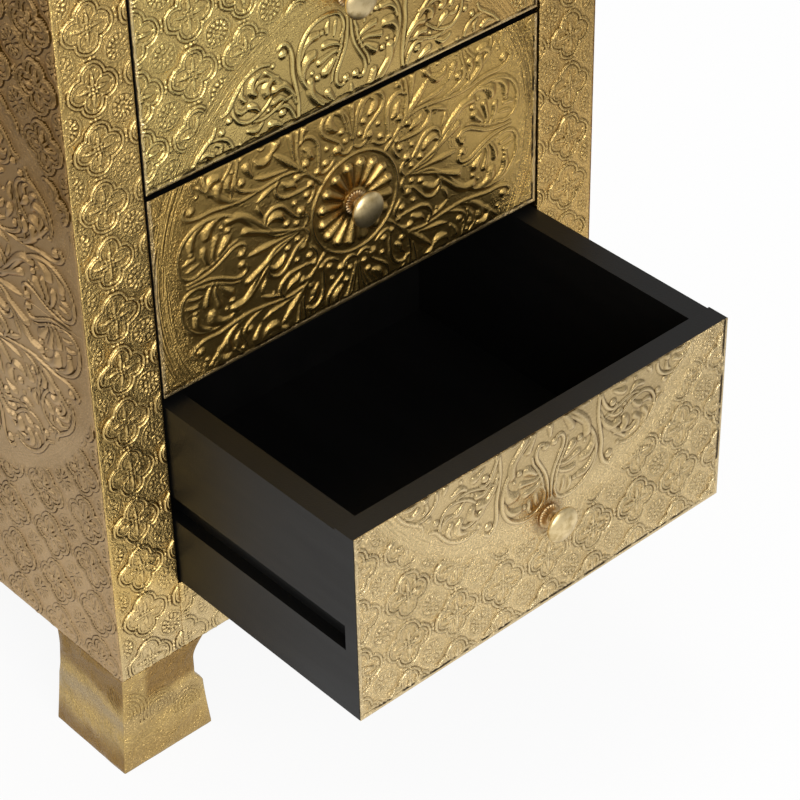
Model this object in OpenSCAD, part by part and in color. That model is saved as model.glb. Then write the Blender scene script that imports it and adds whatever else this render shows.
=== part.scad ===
// Bedside cabinet with three drawers, a wooden carcass clad in embossed brass sheet.
// The front faces -Y and the floor is at Z 0. The lowest drawer stands open.
// The origin is under the middle of the whole, open drawer and feet included.

/* [Carcass] */
// Width over the side sheets
body_w = 400; // [360:5:480]
// Depth from the front sheets to the back edge
body_d = 280; // [240:5:360]
// Thickness of the side boards
board_t = 16; // [12:1:22]
// Width of each stile beside the drawers
stile_w = 48.5; // [44:0.5:60]
// Thickness of the stiles and front rails
stile_t = 18; // [14:1:24]
// Height of the rail under the drawers
bottom_rail_h = 52; // [40:0.5:70]
// Height of the rail over the drawers
top_rail_h = 50; // [30:1:70]
// Thickness of the bottom panel
floor_t = 12; // [9:1:18]
// Thickness of the back panel
back_t = 6; // [4:1:9]
// Width of the rebate that takes each edge of the back panel
back_rebate = 8; // [5:1:10]

/* [Top] */
// Thickness of the top with its sheet
top_t = 22; // [16:1:30]
// How far the top stands out at the front and the sides
top_overhang = 10; // [5:1:20]
// How far the top sheet is turned in under the overhang
top_turn_in = 6; // [2:1:8]
// Radius of the folded edges of the top sheet
top_round = 3; // [1.5:0.5:5]

/* [Brass sheet] */
// Thickness of the sheet with its backing
sheet_t = 0.6; // [0.4:0.1:1]

/* [Feet] */
// Height of a foot
foot_h = 75; // [50:0.5:100]
// Width of a foot where it meets the body
foot_w = 63.5; // [56:0.5:76]
// Depth of a foot where it meets the body
foot_d = 67; // [56:0.5:80]
// How far the inner side of a foot is cut in at its neck
foot_neck = 8; // [4:0.5:12]
// How far the other faces of a foot are drawn in at its neck
foot_cove = 0.8; // [0.4:0.1:3]
// How far the base of a foot flares out at the front and the inner side
foot_flare = 0.6; // [0:0.1:3]
// How far a foot leans out to the side at the floor
foot_lean = 5.2; // [0:0.1:8]
// How far a foot leans towards the middle of the depth at the floor
foot_rear_lean = 2.6; // [0:0.1:6]
// How far the brass of a foot ends above the floor
foot_lift = 0.4; // [0.2:0.1:1]

/* [Foot screws] */
// Diameter of the screw that holds a foot
foot_screw_d = 8; // [6:0.5:9]
// Length of that screw under its head
foot_screw_l = 52; // [40:1:60]
// Width of the screw's head
foot_screw_head_d = 15; // [12:0.5:18]
// Height of the screw's head
foot_screw_head_h = 5.5; // [4:0.5:7]

/* [Drawers] */
// Height of a drawer front
drawer_h = 136; // [120:1:160]
// Gap between two drawer fronts
drawer_gap = 4.8; // [2:0.1:7]
// Gap over the top drawer and under the lowest one
end_gap = 1.2; // [0.8:0.1:3]
// Gap between a drawer and each stile
side_gap = 1.5; // [1:0.1:3]
// Thickness of a drawer front with its sheet
front_t = 16; // [14:0.5:20]
// Thickness of the edge of the front that shows at the side
front_lip = 10.5; // [8:0.5:12]
// Thickness of a drawer side
side_t = 16; // [14:0.5:18]
// How much lower a drawer side is than the front
side_drop = 1.5; // [0:0.1:4]
// Thickness of a drawer back
rear_t = 12; // [9:1:16]
// How much lower a drawer back is than the front
rear_drop = 12; // [4:1:30]
// Thickness of a drawer bottom
base_t = 5; // [3:0.5:8]
// Height of the drawer bottom over the lower edge of the sides
base_lift = 8; // [5:0.5:14]
// Depth of the grooves that hold the drawer bottom
base_groove = 5; // [3:0.5:6]
// Gap between a closed drawer and the back panel
rear_gap = 0.6; // [0.4:0.1:4]
// How far the lowest drawer is pulled out
lowest_out = 166.5; // [0:0.5:180]

/* [Runners] */
// Height of a runner
runner_h = 17.8; // [12:0.1:22]
// Height of a runner's underside over the drawer's lower edge
runner_lift = 48.8; // [35:0.1:60]
// How far a runner reaches into the groove of the drawer side
runner_bite = 7.5; // [5:0.5:9]
// Clearance between a runner and its groove
runner_fit = 0.35; // [0.2:0.05:1]
// Chamfer on the nose of a runner
runner_nose = 5; // [2:1:7]

/* [Knobs] */
// Diameter of the knob's head
knob_d = 23.7; // [18:0.1:30]
// Thickness of the knob's head
knob_head_t = 7.7; // [6:0.1:10]
// How far the knob stands out from the drawer
knob_out = 15.5; // [14.5:0.1:22]
// Diameter of the flange on the drawer
knob_flange_d = 16; // [12:0.5:20]
// Diameter of the neck
knob_neck_d = 5.6; // [5.4:0.1:7]
// Diameter of the larger bead on the neck
knob_bead_d = 8; // [7.6:0.1:10]
// Diameter of the screw that holds the knob
knob_screw_d = 4; // [3:0.5:4]
// How far that screw reaches into the knob
knob_screw_in = 8; // [5:0.5:10]
// Width of the screw's head
knob_screw_head_d = 8; // [7:0.5:10]
// Height of the screw's head
knob_screw_head_h = 2.6; // [2:0.1:4]

/* [Rosette] */
// Radius of the raised ring round the middle knob
ring_r = 33.5; // [28:0.5:40]
// Radius of the ring's round section
ring_bead_r = 1.1; // [0.8:0.1:1.6]
// Petals inside the ring
petals = 16; // [12:1:20]
// Radius at which a petal starts
petal_in = 11.5; // [10:0.5:14]
// Radius at which a petal ends
petal_out = 30; // [24:0.5:30]
// Relief of a petal over the sheet
petal_rise = 1.2; // [0.6:0.1:1.6]

/* [Hidden] */
eps = 0.01;
bore_fit = 0.1;
drawer_count = 3;
brass_c = [0.79, 0.66, 0.40];
pale_brass_c = [0.85, 0.79, 0.62];
black_c = [0.16, 0.16, 0.15];
wood_c = [0.33, 0.25, 0.18];
steel_c = [0.62, 0.63, 0.64];

// Heights, from the floor up
opening_z0 = foot_h + bottom_rail_h;
opening_h = drawer_count * drawer_h + (drawer_count - 1) * drawer_gap + 2 * end_gap;
opening_z1 = opening_z0 + opening_h;
body_z1 = opening_z1 + top_rail_h;
top_z1 = body_z1 + top_t;

// Depths, from the front back
front_y = (lowest_out + knob_out - body_d - foot_flare) / 2;
stile_y1 = front_y + sheet_t + stile_t;
back_y = front_y + body_d;
back_panel_y = back_y - back_t;
drawer_l = body_d - back_t - rear_gap;

// Widths, from the middle out
side_x1 = body_w / 2 - sheet_t;
side_x0 = side_x1 - board_t;
opening_x = body_w / 2 - stile_w;
drawer_x = opening_x - side_gap;
runner_x = drawer_x - runner_bite;
base_x = drawer_x - side_t + base_groove;
foot_x = body_w / 2 - foot_w / 2;
foot_ys = [front_y + foot_d / 2, back_y - foot_d / 2];

// Lower edge of a drawer, counted from the lowest one
function drawer_z(level) = opening_z0 + end_gap + level * (drawer_h + drawer_gap);

// Front face of a drawer where it stands in the photographed pose
function drawer_y(level) = level == 0 ? front_y - lowest_out : front_y;

// Solid between two opposite corners
module block(low, high) {
  translate(low)
    cube(high - low);
}

// The left piece as drawn, or its mirror image on the right
module on_side(side) {
  if (side < 0)
    children();
  else
    mirror([1, 0, 0])
      children();
}

// Side board, with the rebate of the back panel
module side_board(side) {
  color(wood_c)
    on_side(side)
      difference() {
        block([-side_x1, stile_y1, foot_h], [-side_x0, back_y, body_z1]);
        block([-side_x0 - back_rebate, back_panel_y, foot_h - 1], [-side_x0 + 1, back_y + 1, body_z1 + 1]);
      }
}

// Upright of the front frame
module stile(side) {
  color(wood_c)
    on_side(side)
      block([-side_x1, front_y + sheet_t, foot_h], [-opening_x - sheet_t, stile_y1, body_z1]);
}

// Rail of the front frame between the stiles
module rail(z0, z1) {
  color(wood_c)
    block([-opening_x - sheet_t, front_y + sheet_t, z0], [opening_x + sheet_t, stile_y1, z1]);
}

// Bottom panel, drilled for the screws of the feet
module bottom_panel() {
  color(wood_c)
    difference() {
      block([-side_x0, stile_y1, foot_h], [side_x0, back_panel_y, foot_h + floor_t]);
      foot_screw_holes();
    }
}

// Back panel in its rebates
module back_panel() {
  color(wood_c)
    block([-side_x0 - back_rebate, back_panel_y, foot_h], [side_x0 + back_rebate, back_y, body_z1]);
}

// Outline of the top seen from the front, rounded at its upper corners by r
module top_outline(half_w, z0, z1, r) {
  translate([-half_w, z0])
    square([2 * half_w, z1 - z0 - r]);
  translate([-half_w + r, z0])
    square([2 * (half_w - r), z1 - z0]);
  for (x = [-half_w + r, half_w - r])
    translate([x, z1 - r])
      circle(r = r, $fn = 48);
}

// Outline of the top seen from the side, rounded at its upper front corner by r
module top_side_outline(y0, y1, z0, z1, r) {
  translate([y0, z0])
    square([y1 - y0, z1 - z0 - r]);
  translate([y0 + r, z0])
    square([y1 - y0 - r, z1 - z0]);
  translate([y0 + r, z1 - r])
    circle(r = r, $fn = 48);
}

// Body of the top, inset on its clad faces
module top_form(inset, z0, y1) {
  half_w = body_w / 2 + top_overhang - inset;
  y0 = front_y - top_overhang + inset;
  r = top_round - inset;
  intersection() {
    translate([0, y1, 0])
      rotate([90, 0, 0])
        linear_extrude(y1 - y0)
          top_outline(half_w, z0, top_z1 - inset, r);
    rotate([90, 0, 90])
      translate([0, 0, -half_w])
        linear_extrude(2 * half_w)
          top_side_outline(y0, y1, z0, top_z1 - inset, r);
  }
}

// Wooden top inside its sheet
module top_board() {
  color(wood_c)
    difference() {
      top_form(sheet_t, body_z1, back_y);
      top_turn_in_space();
    }
}

// Recess under the overhang that the turned edge of the sheet fills
module top_turn_in_space() {
  out_x = body_w / 2 + top_overhang - sheet_t;
  out_y = front_y - top_overhang + sheet_t;
  difference() {
    block([-out_x - 1, out_y - 1, body_z1 - 1], [out_x + 1, back_y + 1, body_z1 + sheet_t]);
    block([-out_x + top_turn_in, out_y + top_turn_in, body_z1 - 2], [out_x - top_turn_in, back_y + 2, body_z1 + 1]);
  }
}

// Sheet over the top, down its front and side edges and turned in below
module top_sheet() {
  color(brass_c)
    difference() {
      top_form(0, body_z1, back_y);
      difference() {
        top_form(sheet_t, body_z1 - 1, back_y + 1);
        intersection() {
          top_turn_in_space();
          block([-body_w, front_y - body_d, body_z1], [body_w, back_y, body_z1 + sheet_t]);
        }
      }
      block(
        [-body_w / 2 - top_overhang + sheet_t + top_turn_in, front_y - top_overhang + sheet_t + top_turn_in, body_z1 - 1],
        [body_w / 2 + top_overhang - sheet_t - top_turn_in, back_y + 1, body_z1 + sheet_t]
      );
    }
}

// Sheet on the side, which also covers the edge of the stile
module side_sheet(side) {
  color(brass_c)
    on_side(side)
      block([-body_w / 2, front_y, foot_h], [-side_x1, back_y, body_z1]);
}

// Sheet on a stile, folded back along the drawer opening
module stile_sheet(side) {
  color(brass_c)
    on_side(side)
      union() {
        block([-side_x1, front_y, foot_h], [-opening_x, front_y + sheet_t, body_z1]);
        block([-opening_x - sheet_t, front_y, opening_z0], [-opening_x, stile_y1, opening_z1]);
      }
}

// Sheet on the lower rail, folded back over its upper edge
module bottom_rail_sheet() {
  color(brass_c)
    union() {
      block([-opening_x, front_y, foot_h], [opening_x, front_y + sheet_t, opening_z0]);
      block([-opening_x, front_y, opening_z0 - sheet_t], [opening_x, stile_y1, opening_z0]);
    }
}

// Sheet on the upper rail, folded back under its lower edge
module top_rail_sheet() {
  color(brass_c)
    union() {
      block([-opening_x, front_y, opening_z1], [opening_x, front_y + sheet_t, body_z1]);
      block([-opening_x, front_y, opening_z1], [opening_x, stile_y1, opening_z1 + sheet_t]);
    }
}

// How far a face of a foot stands out, at v from 0 under the body to 1 at the floor, with its neck at v 0.2
function foot_out(v, neck) =
  v < 0.2 ? -neck * sin(90 * v / 0.2)
  : v < 0.36 ? -neck
  : v < 0.5 ? -neck + 0.7 * neck * (1 - cos(180 * (v - 0.36) / 0.14)) / 2
  : -0.3 * neck + (foot_flare + 0.3 * neck) * pow(min((v - 0.5) / 0.47, 1), 1.3);

// Heights at which the outline of a foot is drawn, close together on its curves
foot_stops = concat(
  [for (i = [0:5]) 0.04 * i],
  [for (i = [0:6]) 0.36 + 0.14 * i / 6],
  [for (i = [1:6]) 0.5 + 0.47 * i / 6],
  [1]
);

// Outline of a foot: its outer edge leans and has a shallow cove, its inner edge leans and has a neck
module foot_outline(half, outer_lean, inner_lean, inner_neck, inset) {
  inner = [for (v = foot_stops) [half + foot_out(v, inner_neck) + inner_lean * v - inset, foot_h * (1 - v)]];
  outer = [for (v = foot_stops) [-half - foot_out(v, foot_cove) - outer_lean * v + inset, foot_h * (1 - v)]];
  polygon(concat(inner, [for (i = [len(foot_stops) - 1:-1:0]) outer[i]]));
}

// Solid of the front left foot: cut in on its inner side, and leaning out to the side and to the rear
module foot_form(inset) {
  reach = foot_w + foot_d;
  intersection() {
    rotate([90, 0, 0])
      linear_extrude(reach, center = true)
        foot_outline(foot_w / 2, foot_lean, 0, foot_neck, inset);
    rotate([90, 0, 90])
      linear_extrude(reach, center = true)
        foot_outline(foot_d / 2, 0, foot_rear_lean, foot_cove, inset);
  }
}

// Puts the front left foot in its place, or its mirror image on the right or at the back
module at_foot(side, row) {
  translate([side * foot_x, foot_ys[row], 0])
    on_side(side)
      if (row == 0)
        children();
      else
        mirror([0, 1, 0])
          children();
}

// Wooden foot, drilled for its screw
module foot(side, row) {
  color(wood_c)
    difference() {
      at_foot(side, row)
        foot_form(sheet_t);
      foot_screw_holes();
    }
}

// Brass wrapped round a foot
module foot_sheet(side, row) {
  color(brass_c)
    at_foot(side, row)
      difference() {
        foot_form(0);
        foot_core_space();
        block([-foot_w, -foot_d, -1], [foot_w, foot_d, foot_lift]);
      }
}

// Space inside the brass of a foot, open above and below
module foot_core_space() {
  foot_form(sheet_t);
  block(
    [sheet_t - foot_w / 2, sheet_t - foot_d / 2, foot_h - eps],
    [foot_w / 2 - sheet_t, foot_d / 2 - sheet_t, foot_h + 1]
  );
}

// Runs its children at the centre of each foot
module at_feet() {
  for (x = [-foot_x, foot_x])
    for (y = foot_ys)
      translate([x, y, foot_h + floor_t])
        children();
}

// Holes for the screws of the feet, down through the bottom panel
module foot_screw_holes() {
  at_feet()
    translate([0, 0, -foot_screw_l - 1])
      cylinder(d = foot_screw_d + bore_fit, h = foot_screw_l + 2, $fn = 48);
}

// Screws of the feet, their heads on the bottom panel
module foot_screws() {
  color(steel_c)
    at_feet() {
      translate([0, 0, -foot_screw_l])
        cylinder(d = foot_screw_d, h = foot_screw_l + eps, $fn = 48);
      rotate_extrude($fn = 48)
        polygon([
          [0, 0],
          [foot_screw_head_d / 2, 0],
          [foot_screw_head_d / 2, foot_screw_head_h * 0.55],
          [foot_screw_head_d / 2 - 2, foot_screw_head_h],
          [0, foot_screw_head_h]
        ]);
    }
}

// Wooden runner between the stile and the back panel, nosed where the drawer comes on
module runner(side, level) {
  z0 = drawer_z(level) + runner_lift;
  color(wood_c)
    on_side(side)
      translate([0, 0, z0])
        linear_extrude(runner_h)
          polygon([
            [-side_x0, stile_y1],
            [-runner_x - runner_nose, stile_y1],
            [-runner_x, stile_y1 + runner_nose],
            [-runner_x, back_panel_y],
            [-side_x0, back_panel_y]
          ]);
}

// Moves a drawer's piece to its level and its place along the travel
module at_drawer(level) {
  translate([0, drawer_y(level), drawer_z(level)])
    children();
}

// Front board, rabbeted for the sides, grooved for the bottom and drilled for the knob
module drawer_front(level) {
  color(black_c)
    at_drawer(level)
      difference() {
        block([-drawer_x, sheet_t, 0], [drawer_x, front_t, drawer_h]);
        for (side = [-1, 1])
          on_side(side)
            block([-drawer_x - 1, front_lip, -1], [-drawer_x + side_t, front_t + 1, drawer_h - side_drop]);
        block([-base_x, front_t - base_groove, base_lift], [base_x, front_t + 1, base_lift + base_t]);
        knob_bore();
      }
}

// Side board, with the runner's groove outside and the bottom's groove inside
module drawer_side(side, level) {
  color(black_c)
    at_drawer(level)
      on_side(side)
        difference() {
          block([-drawer_x, front_lip, 0], [-drawer_x + side_t, drawer_l, drawer_h - side_drop]);
          block(
            [-drawer_x - 1, front_lip - 1, runner_lift - runner_fit],
            [-runner_x + runner_fit, drawer_l + 1, runner_lift + runner_h + runner_fit]
          );
          block([-base_x, front_lip - 1, base_lift], [base_x, drawer_l + 1, base_lift + base_t]);
        }
}

// Back board between the sides, standing on the bottom
module drawer_back(level) {
  inner_x = drawer_x - side_t;
  color(black_c)
    at_drawer(level)
      block([-inner_x, drawer_l - rear_t, base_lift + base_t], [inner_x, drawer_l, drawer_h - rear_drop]);
}

// Bottom, held in the grooves of the front and the sides
module drawer_bottom(level) {
  color(black_c)
    at_drawer(level)
      block([-base_x, front_t - base_groove, base_lift], [base_x, drawer_l, base_lift + base_t]);
}

// Brass on the front, with a fluted rosette round the knob of the middle drawer
module drawer_sheet(level) {
  color(brass_c)
    at_drawer(level)
      difference() {
        union() {
          block([-drawer_x, 0, 0], [drawer_x, sheet_t, drawer_h]);
          if (level == 1)
            rosette();
        }
        knob_bore();
      }
}

// Outline of one petal, from its narrow root out to its round end
module petal_outline() {
  half_root = petal_in * sin(90 / petals);
  end_r = (petal_out * sin(180 / petals) - 0.3) / (1 + sin(180 / petals));
  end_x = petal_out - end_r;
  polygon(concat(
    [[petal_in, -half_root]],
    [for (a = [-80:20:80]) [end_x + end_r * cos(a), end_r * sin(a)]],
    [[petal_in, half_root]]
  ));
}

// Raised ring and petals round a knob
module rosette() {
  translate([0, 0, drawer_h / 2])
    rotate([90, 0, 0]) {
      intersection() {
        rotate_extrude($fn = 96)
          translate([ring_r, 0])
            circle(r = ring_bead_r, $fn = 24);
        translate([0, 0, -eps])
          cylinder(r = ring_r + 2 * ring_bead_r, h = 2 * ring_bead_r, $fn = 96);
      }
      for (i = [0:petals - 1])
        rotate([0, 0, (i + 0.5) * 360 / petals])
          translate([0, 0, -eps])
            linear_extrude(petal_rise)
              petal_outline();
    }
}

// Turned shape of a knob from the drawer out: flange, beaded neck and domed head
module knob_profile() {
  flange_t = 1.4;
  head_r = knob_head_t / 2;
  head_s = knob_out - head_r;
  neck_l = knob_out - knob_head_t - flange_t;
  neck_r = knob_neck_d / 2;
  bead_r = neck_l / 4;
  beads = [
    for (i = [0, 1])
      for (a = [-60:20:60])
        [
          neck_r + (knob_bead_d / 2 - neck_r) * cos(a) * (i == 0 ? 1 : 0.8),
          flange_t + neck_l * (0.27 + 0.46 * i) + bead_r * sin(a)
        ]
  ];
  polygon(concat(
    [[0, 0], [knob_flange_d / 2, 0]],
    [for (a = [0:30:90]) [knob_flange_d / 2 - flange_t + flange_t * cos(a), flange_t * sin(a)]],
    [[neck_r, flange_t]],
    beads,
    [for (a = [-72:8:88]) [knob_d / 2 * cos(a), head_s + head_r * sin(a)]],
    [[0, knob_out]]
  ));
}

// Points a turned piece out of the middle of a drawer front
module at_knob() {
  translate([0, 0, drawer_h / 2])
    rotate([90, 0, 0])
      children();
}

// Hole through the front for the knob's screw
module knob_bore() {
  at_knob()
    translate([0, 0, -front_t - 1])
      cylinder(d = knob_screw_d + 0.4, h = front_t + 2, $fn = 48);
}

// Brass knob with a blind hole for its screw
module knob(level) {
  color(pale_brass_c)
    at_drawer(level)
      at_knob()
        difference() {
          rotate_extrude($fn = 72)
            knob_profile();
          translate([0, 0, -1])
            cylinder(d = knob_screw_d + bore_fit, h = knob_screw_in + 2, $fn = 48);
        }
}

// Screw of a knob, its head against the back of the front board
module knob_screw(level) {
  color(steel_c)
    at_drawer(level)
      at_knob()
        union() {
          translate([0, 0, -front_t])
            cylinder(d = knob_screw_d, h = front_t + knob_screw_in, $fn = 48);
          translate([0, 0, -front_t])
            rotate_extrude($fn = 48)
              polygon([
                [0, 0],
                [knob_screw_head_d / 2, 0],
                [knob_screw_head_d / 2, -knob_screw_head_h * 0.4],
                [knob_screw_head_d / 2 - 0.9, -knob_screw_head_h * 0.85],
                [knob_screw_head_d / 4, -knob_screw_head_h],
                [0, -knob_screw_head_h]
              ]);
        }
}

side_board(-1);  // left_side
side_board(1);  // right_side
stile(-1);  // left_stile
stile(1);  // right_stile
rail(opening_z1 + sheet_t, body_z1);  // top_rail
rail(foot_h, opening_z0 - sheet_t);  // bottom_rail
bottom_panel();
back_panel();
top_board();

side_sheet(-1);  // left_side_sheet
side_sheet(1);  // right_side_sheet
stile_sheet(-1);  // left_stile_sheet
stile_sheet(1);  // right_stile_sheet
top_rail_sheet();
bottom_rail_sheet();
top_sheet();

foot(-1, 0);  // front_left_foot
foot(1, 0);  // front_right_foot
foot(-1, 1);  // back_left_foot
foot(1, 1);  // back_right_foot
foot_sheet(-1, 0);  // front_left_foot_sheet
foot_sheet(1, 0);  // front_right_foot_sheet
foot_sheet(-1, 1);  // back_left_foot_sheet
foot_sheet(1, 1);  // back_right_foot_sheet
foot_screws();

runner(-1, 0);  // lower_left_runner
runner(1, 0);  // lower_right_runner
runner(-1, 1);  // middle_left_runner
runner(1, 1);  // middle_right_runner
runner(-1, 2);  // upper_left_runner
runner(1, 2);  // upper_right_runner

drawer_front(0);  // lower_drawer_front
drawer_side(-1, 0);  // lower_drawer_left_side
drawer_side(1, 0);  // lower_drawer_right_side
drawer_back(0);  // lower_drawer_back
drawer_bottom(0);  // lower_drawer_bottom
drawer_sheet(0);  // lower_drawer_sheet
knob(0);  // lower_knob
knob_screw(0);  // lower_knob_screw

drawer_front(1);  // middle_drawer_front
drawer_side(-1, 1);  // middle_drawer_left_side
drawer_side(1, 1);  // middle_drawer_right_side
drawer_back(1);  // middle_drawer_back
drawer_bottom(1);  // middle_drawer_bottom
drawer_sheet(1);  // middle_drawer_sheet
knob(1);  // middle_knob
knob_screw(1);  // middle_knob_screw

drawer_front(2);  // upper_drawer_front
drawer_side(-1, 2);  // upper_drawer_left_side
drawer_side(1, 2);  // upper_drawer_right_side
drawer_back(2);  // upper_drawer_back
drawer_bottom(2);  // upper_drawer_bottom
drawer_sheet(2);  // upper_drawer_sheet
knob(2);  // upper_knob
knob_screw(2);  // upper_knob_screw
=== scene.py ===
# %% [markdown]
# A bedside cabinet with three drawers, clad in thin embossed brass. The packed
# model gives every board, runner, screw and joint its place. This file gives the
# model its looks: the brass gets its real relief, the wood its paint and stain.

import bpy
import numpy as np
from mathutils import Matrix, Vector


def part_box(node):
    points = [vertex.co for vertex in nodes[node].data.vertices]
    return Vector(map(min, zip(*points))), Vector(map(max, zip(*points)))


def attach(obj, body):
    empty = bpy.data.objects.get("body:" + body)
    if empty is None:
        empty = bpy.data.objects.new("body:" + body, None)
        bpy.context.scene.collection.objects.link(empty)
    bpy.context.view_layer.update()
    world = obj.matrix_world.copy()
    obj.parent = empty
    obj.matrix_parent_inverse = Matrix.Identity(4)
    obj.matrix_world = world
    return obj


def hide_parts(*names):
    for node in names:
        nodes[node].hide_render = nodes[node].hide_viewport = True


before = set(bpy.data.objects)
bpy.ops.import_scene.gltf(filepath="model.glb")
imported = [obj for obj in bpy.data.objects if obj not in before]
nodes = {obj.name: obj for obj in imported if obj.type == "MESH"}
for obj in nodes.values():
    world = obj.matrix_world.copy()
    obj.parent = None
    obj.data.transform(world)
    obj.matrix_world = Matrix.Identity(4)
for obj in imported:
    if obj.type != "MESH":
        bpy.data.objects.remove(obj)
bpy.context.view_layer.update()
MM = 0.001


def box_mm(node):
    """Lowest and highest corner of a node, in millimetres, as two arrays."""
    low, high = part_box(node)
    return np.array(low) / MM, np.array(high) / MM


# %% [markdown]
# The camera comes first. It stands in front of the left corner and looks down on
# the open drawer through a long lens, so that upright edges stay nearly parallel.

# %% Camera
FRAME_PX = 800
FOCAL_PX = 2793.6
SENSOR_MM = 36
FARTHEST_M = 50
CAMERA_AT = Vector((-0.89021, -1.10407, 1.25985))
YAW, DIP, ROLL = np.radians([41.151, 37.856, 1.381])


def camera_turn(yaw, dip, roll):
    """Axes of the camera as columns of a matrix.

    The line of sight is (sin yaw, cos yaw) lowered by dip, and the camera is rolled about it.
    """
    forward = np.array([np.sin(yaw) * np.cos(dip), np.cos(yaw) * np.cos(dip), -np.sin(dip)])
    level = np.array([np.cos(yaw), -np.sin(yaw), 0.0])
    down = np.cross(forward, level)
    right = np.cos(roll) * level + np.sin(roll) * down
    down = np.cos(roll) * down - np.sin(roll) * level
    return Matrix(np.stack([right, -down, -forward], axis=1).tolist())


camera_data = bpy.data.cameras.new("camera")
camera_data.sensor_width = SENSOR_MM
camera_data.lens = SENSOR_MM * FOCAL_PX / FRAME_PX
camera_data.clip_end = FARTHEST_M
camera = bpy.data.objects.new("camera", camera_data)
camera.matrix_world = Matrix.Translation(CAMERA_AT) @ camera_turn(YAW, DIP, ROLL).to_4x4()
bpy.context.scene.collection.objects.link(camera)
bpy.context.scene.camera = camera
bpy.context.scene.view_settings.view_transform = "Standard"
print("lens", round(camera_data.lens, 1), "mm")

# %% [markdown]
# Shader maths is easier to read as Python expressions. A small class wraps a
# socket, so that adding or multiplying two of them adds the Math node for it, and
# a second one adds the nodes of a material or of the world.


# %% Shader expressions
class Value:
    """A number or colour that varies over a surface: a shader socket with arithmetic."""

    def __init__(self, tree, socket):
        self.tree = tree
        self.socket = socket

    def maths(self, operation, *others, clamp=False):
        """Result of one Math node on this value and up to two more."""
        numbers = dict(enumerate((self, *others)))
        return self.tree.node("ShaderNodeMath", dict(operation=operation, use_clamp=clamp), numbers)

    def __add__(self, other):
        return self.maths("ADD", other)

    def __sub__(self, other):
        return self.maths("SUBTRACT", other)

    def __rsub__(self, other):
        return self.tree.node("ShaderNodeMath", dict(operation="SUBTRACT"), {0: other, 1: self})

    def __mul__(self, other):
        return self.maths("MULTIPLY", other)

    def __pow__(self, other):
        return self.maths("POWER", other)

    def clip(self):
        """The value kept between 0 and 1."""
        return self.maths("ADD", 0.0, clamp=True)

    __radd__ = __add__
    __rmul__ = __mul__


class Tree:
    """The nodes of a material or a world, and the ways to add one."""

    def __init__(self, owner):
        owner.use_nodes = True
        self.nodes = owner.node_tree.nodes
        self.links = owner.node_tree.links

    def fill(self, node, inputs):
        """Gives each socket in inputs its value or its link."""
        for key, value in inputs.items():
            if isinstance(value, Value):
                self.links.new(value.socket, node.inputs[key])
            else:
                node.inputs[key].default_value = value

    def node(self, kind, settings, inputs, output=0):
        """Adds a node: settings first, then the value or link of each socket, and gives one output."""
        made = self.nodes.new(kind)
        for key, value in settings.items():
            setattr(made, key, value)
        self.fill(made, inputs)
        return Value(self, made.outputs[output])

    def rays(self):
        """Two masks: rays from the camera, and those together with mirrored and transmitted rays."""
        path = self.nodes.new("ShaderNodeLightPath")
        to_camera = Value(self, path.outputs["Is Camera Ray"])
        mirrored = Value(self, path.outputs["Is Glossy Ray"])
        through = Value(self, path.outputs["Is Transmission Ray"])
        return to_camera, to_camera + mirrored + through


class Finish(Tree):
    """A procedural material: its nodes, and the pattern coordinates of the piece."""

    def __init__(self, name):
        self.material = bpy.data.materials.new(name)
        super().__init__(self.material)
        self.shader = self.nodes["Principled BSDF"]
        self.place = self.node("ShaderNodeTexCoord", {}, {}, "Object")

    def noise(self, scale, detail=3.0, roughness=0.5, stretch=(1, 1, 1), place=None):
        """Noise between 0 and 1 with features of about 1 / scale metres, stretched along the axes."""
        placed = self.node("ShaderNodeMapping", {}, {"Vector": place or self.place, "Scale": stretch})
        inputs = {"Vector": placed, "Scale": scale, "Detail": detail, "Roughness": roughness}
        return self.node("ShaderNodeTexNoise", {}, inputs)

    def axes(self):
        """The x, y and z of the pattern coordinates."""
        split = self.node("ShaderNodeSeparateXYZ", {}, {"Vector": self.place})
        return [Value(self, output) for output in split.socket.node.outputs]

    def between(self, value, low, high):
        """0 below low, 1 above high, smooth between them."""
        inputs = {"Value": value, "From Min": low, "From Max": high}
        return self.node("ShaderNodeMapRange", dict(interpolation_type="SMOOTHSTEP"), inputs)

    def distance(self, centre):
        """Distance of the surface from a place, in metres."""
        return self.node("ShaderNodeVectorMath", dict(operation="DISTANCE"), {0: self.place, 1: centre}, 1)

    def mix(self, factor, first, second):
        """Colour from first, at factor 0, to second, at factor 1."""
        return self.node("ShaderNodeMix", dict(data_type="RGBA"), {0: factor, 6: first, 7: second}, 2)

    def attribute(self, name):
        """A number that the mesh holds at its points."""
        return self.node("ShaderNodeAttribute", dict(attribute_name=name), {}, "Fac")

    def bump(self, height, distance):
        """Normal for small relief: height times distance, in metres."""
        return self.node("ShaderNodeBump", {}, {"Height": height, "Distance": distance, "Strength": 1.0})

    def surface(self, **inputs):
        """Sets the shader's sockets by name, with spaces written as underscores."""
        self.fill(self.shader, {key.replace("_", " "): value for key, value in inputs.items()})
        return self.material


def rgb(red, green, blue):
    """Colour written in display values from 0 to 255, as the linear colour that a shader takes."""
    shown = np.array([red, green, blue]) / 255
    linear = np.where(shown <= 0.04045, shown / 12.92, ((shown + 0.055) / 1.055) ** 2.4)
    return (*linear.tolist(), 1.0)


# %% [markdown]
# Floor, world and lamps. Polished metal shows what stands round it, so the stage
# matters as much as the brass: a pale floor below, a dim ceiling above, and one
# large soft lamp high on the left that draws the bright side of every ridge.

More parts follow.
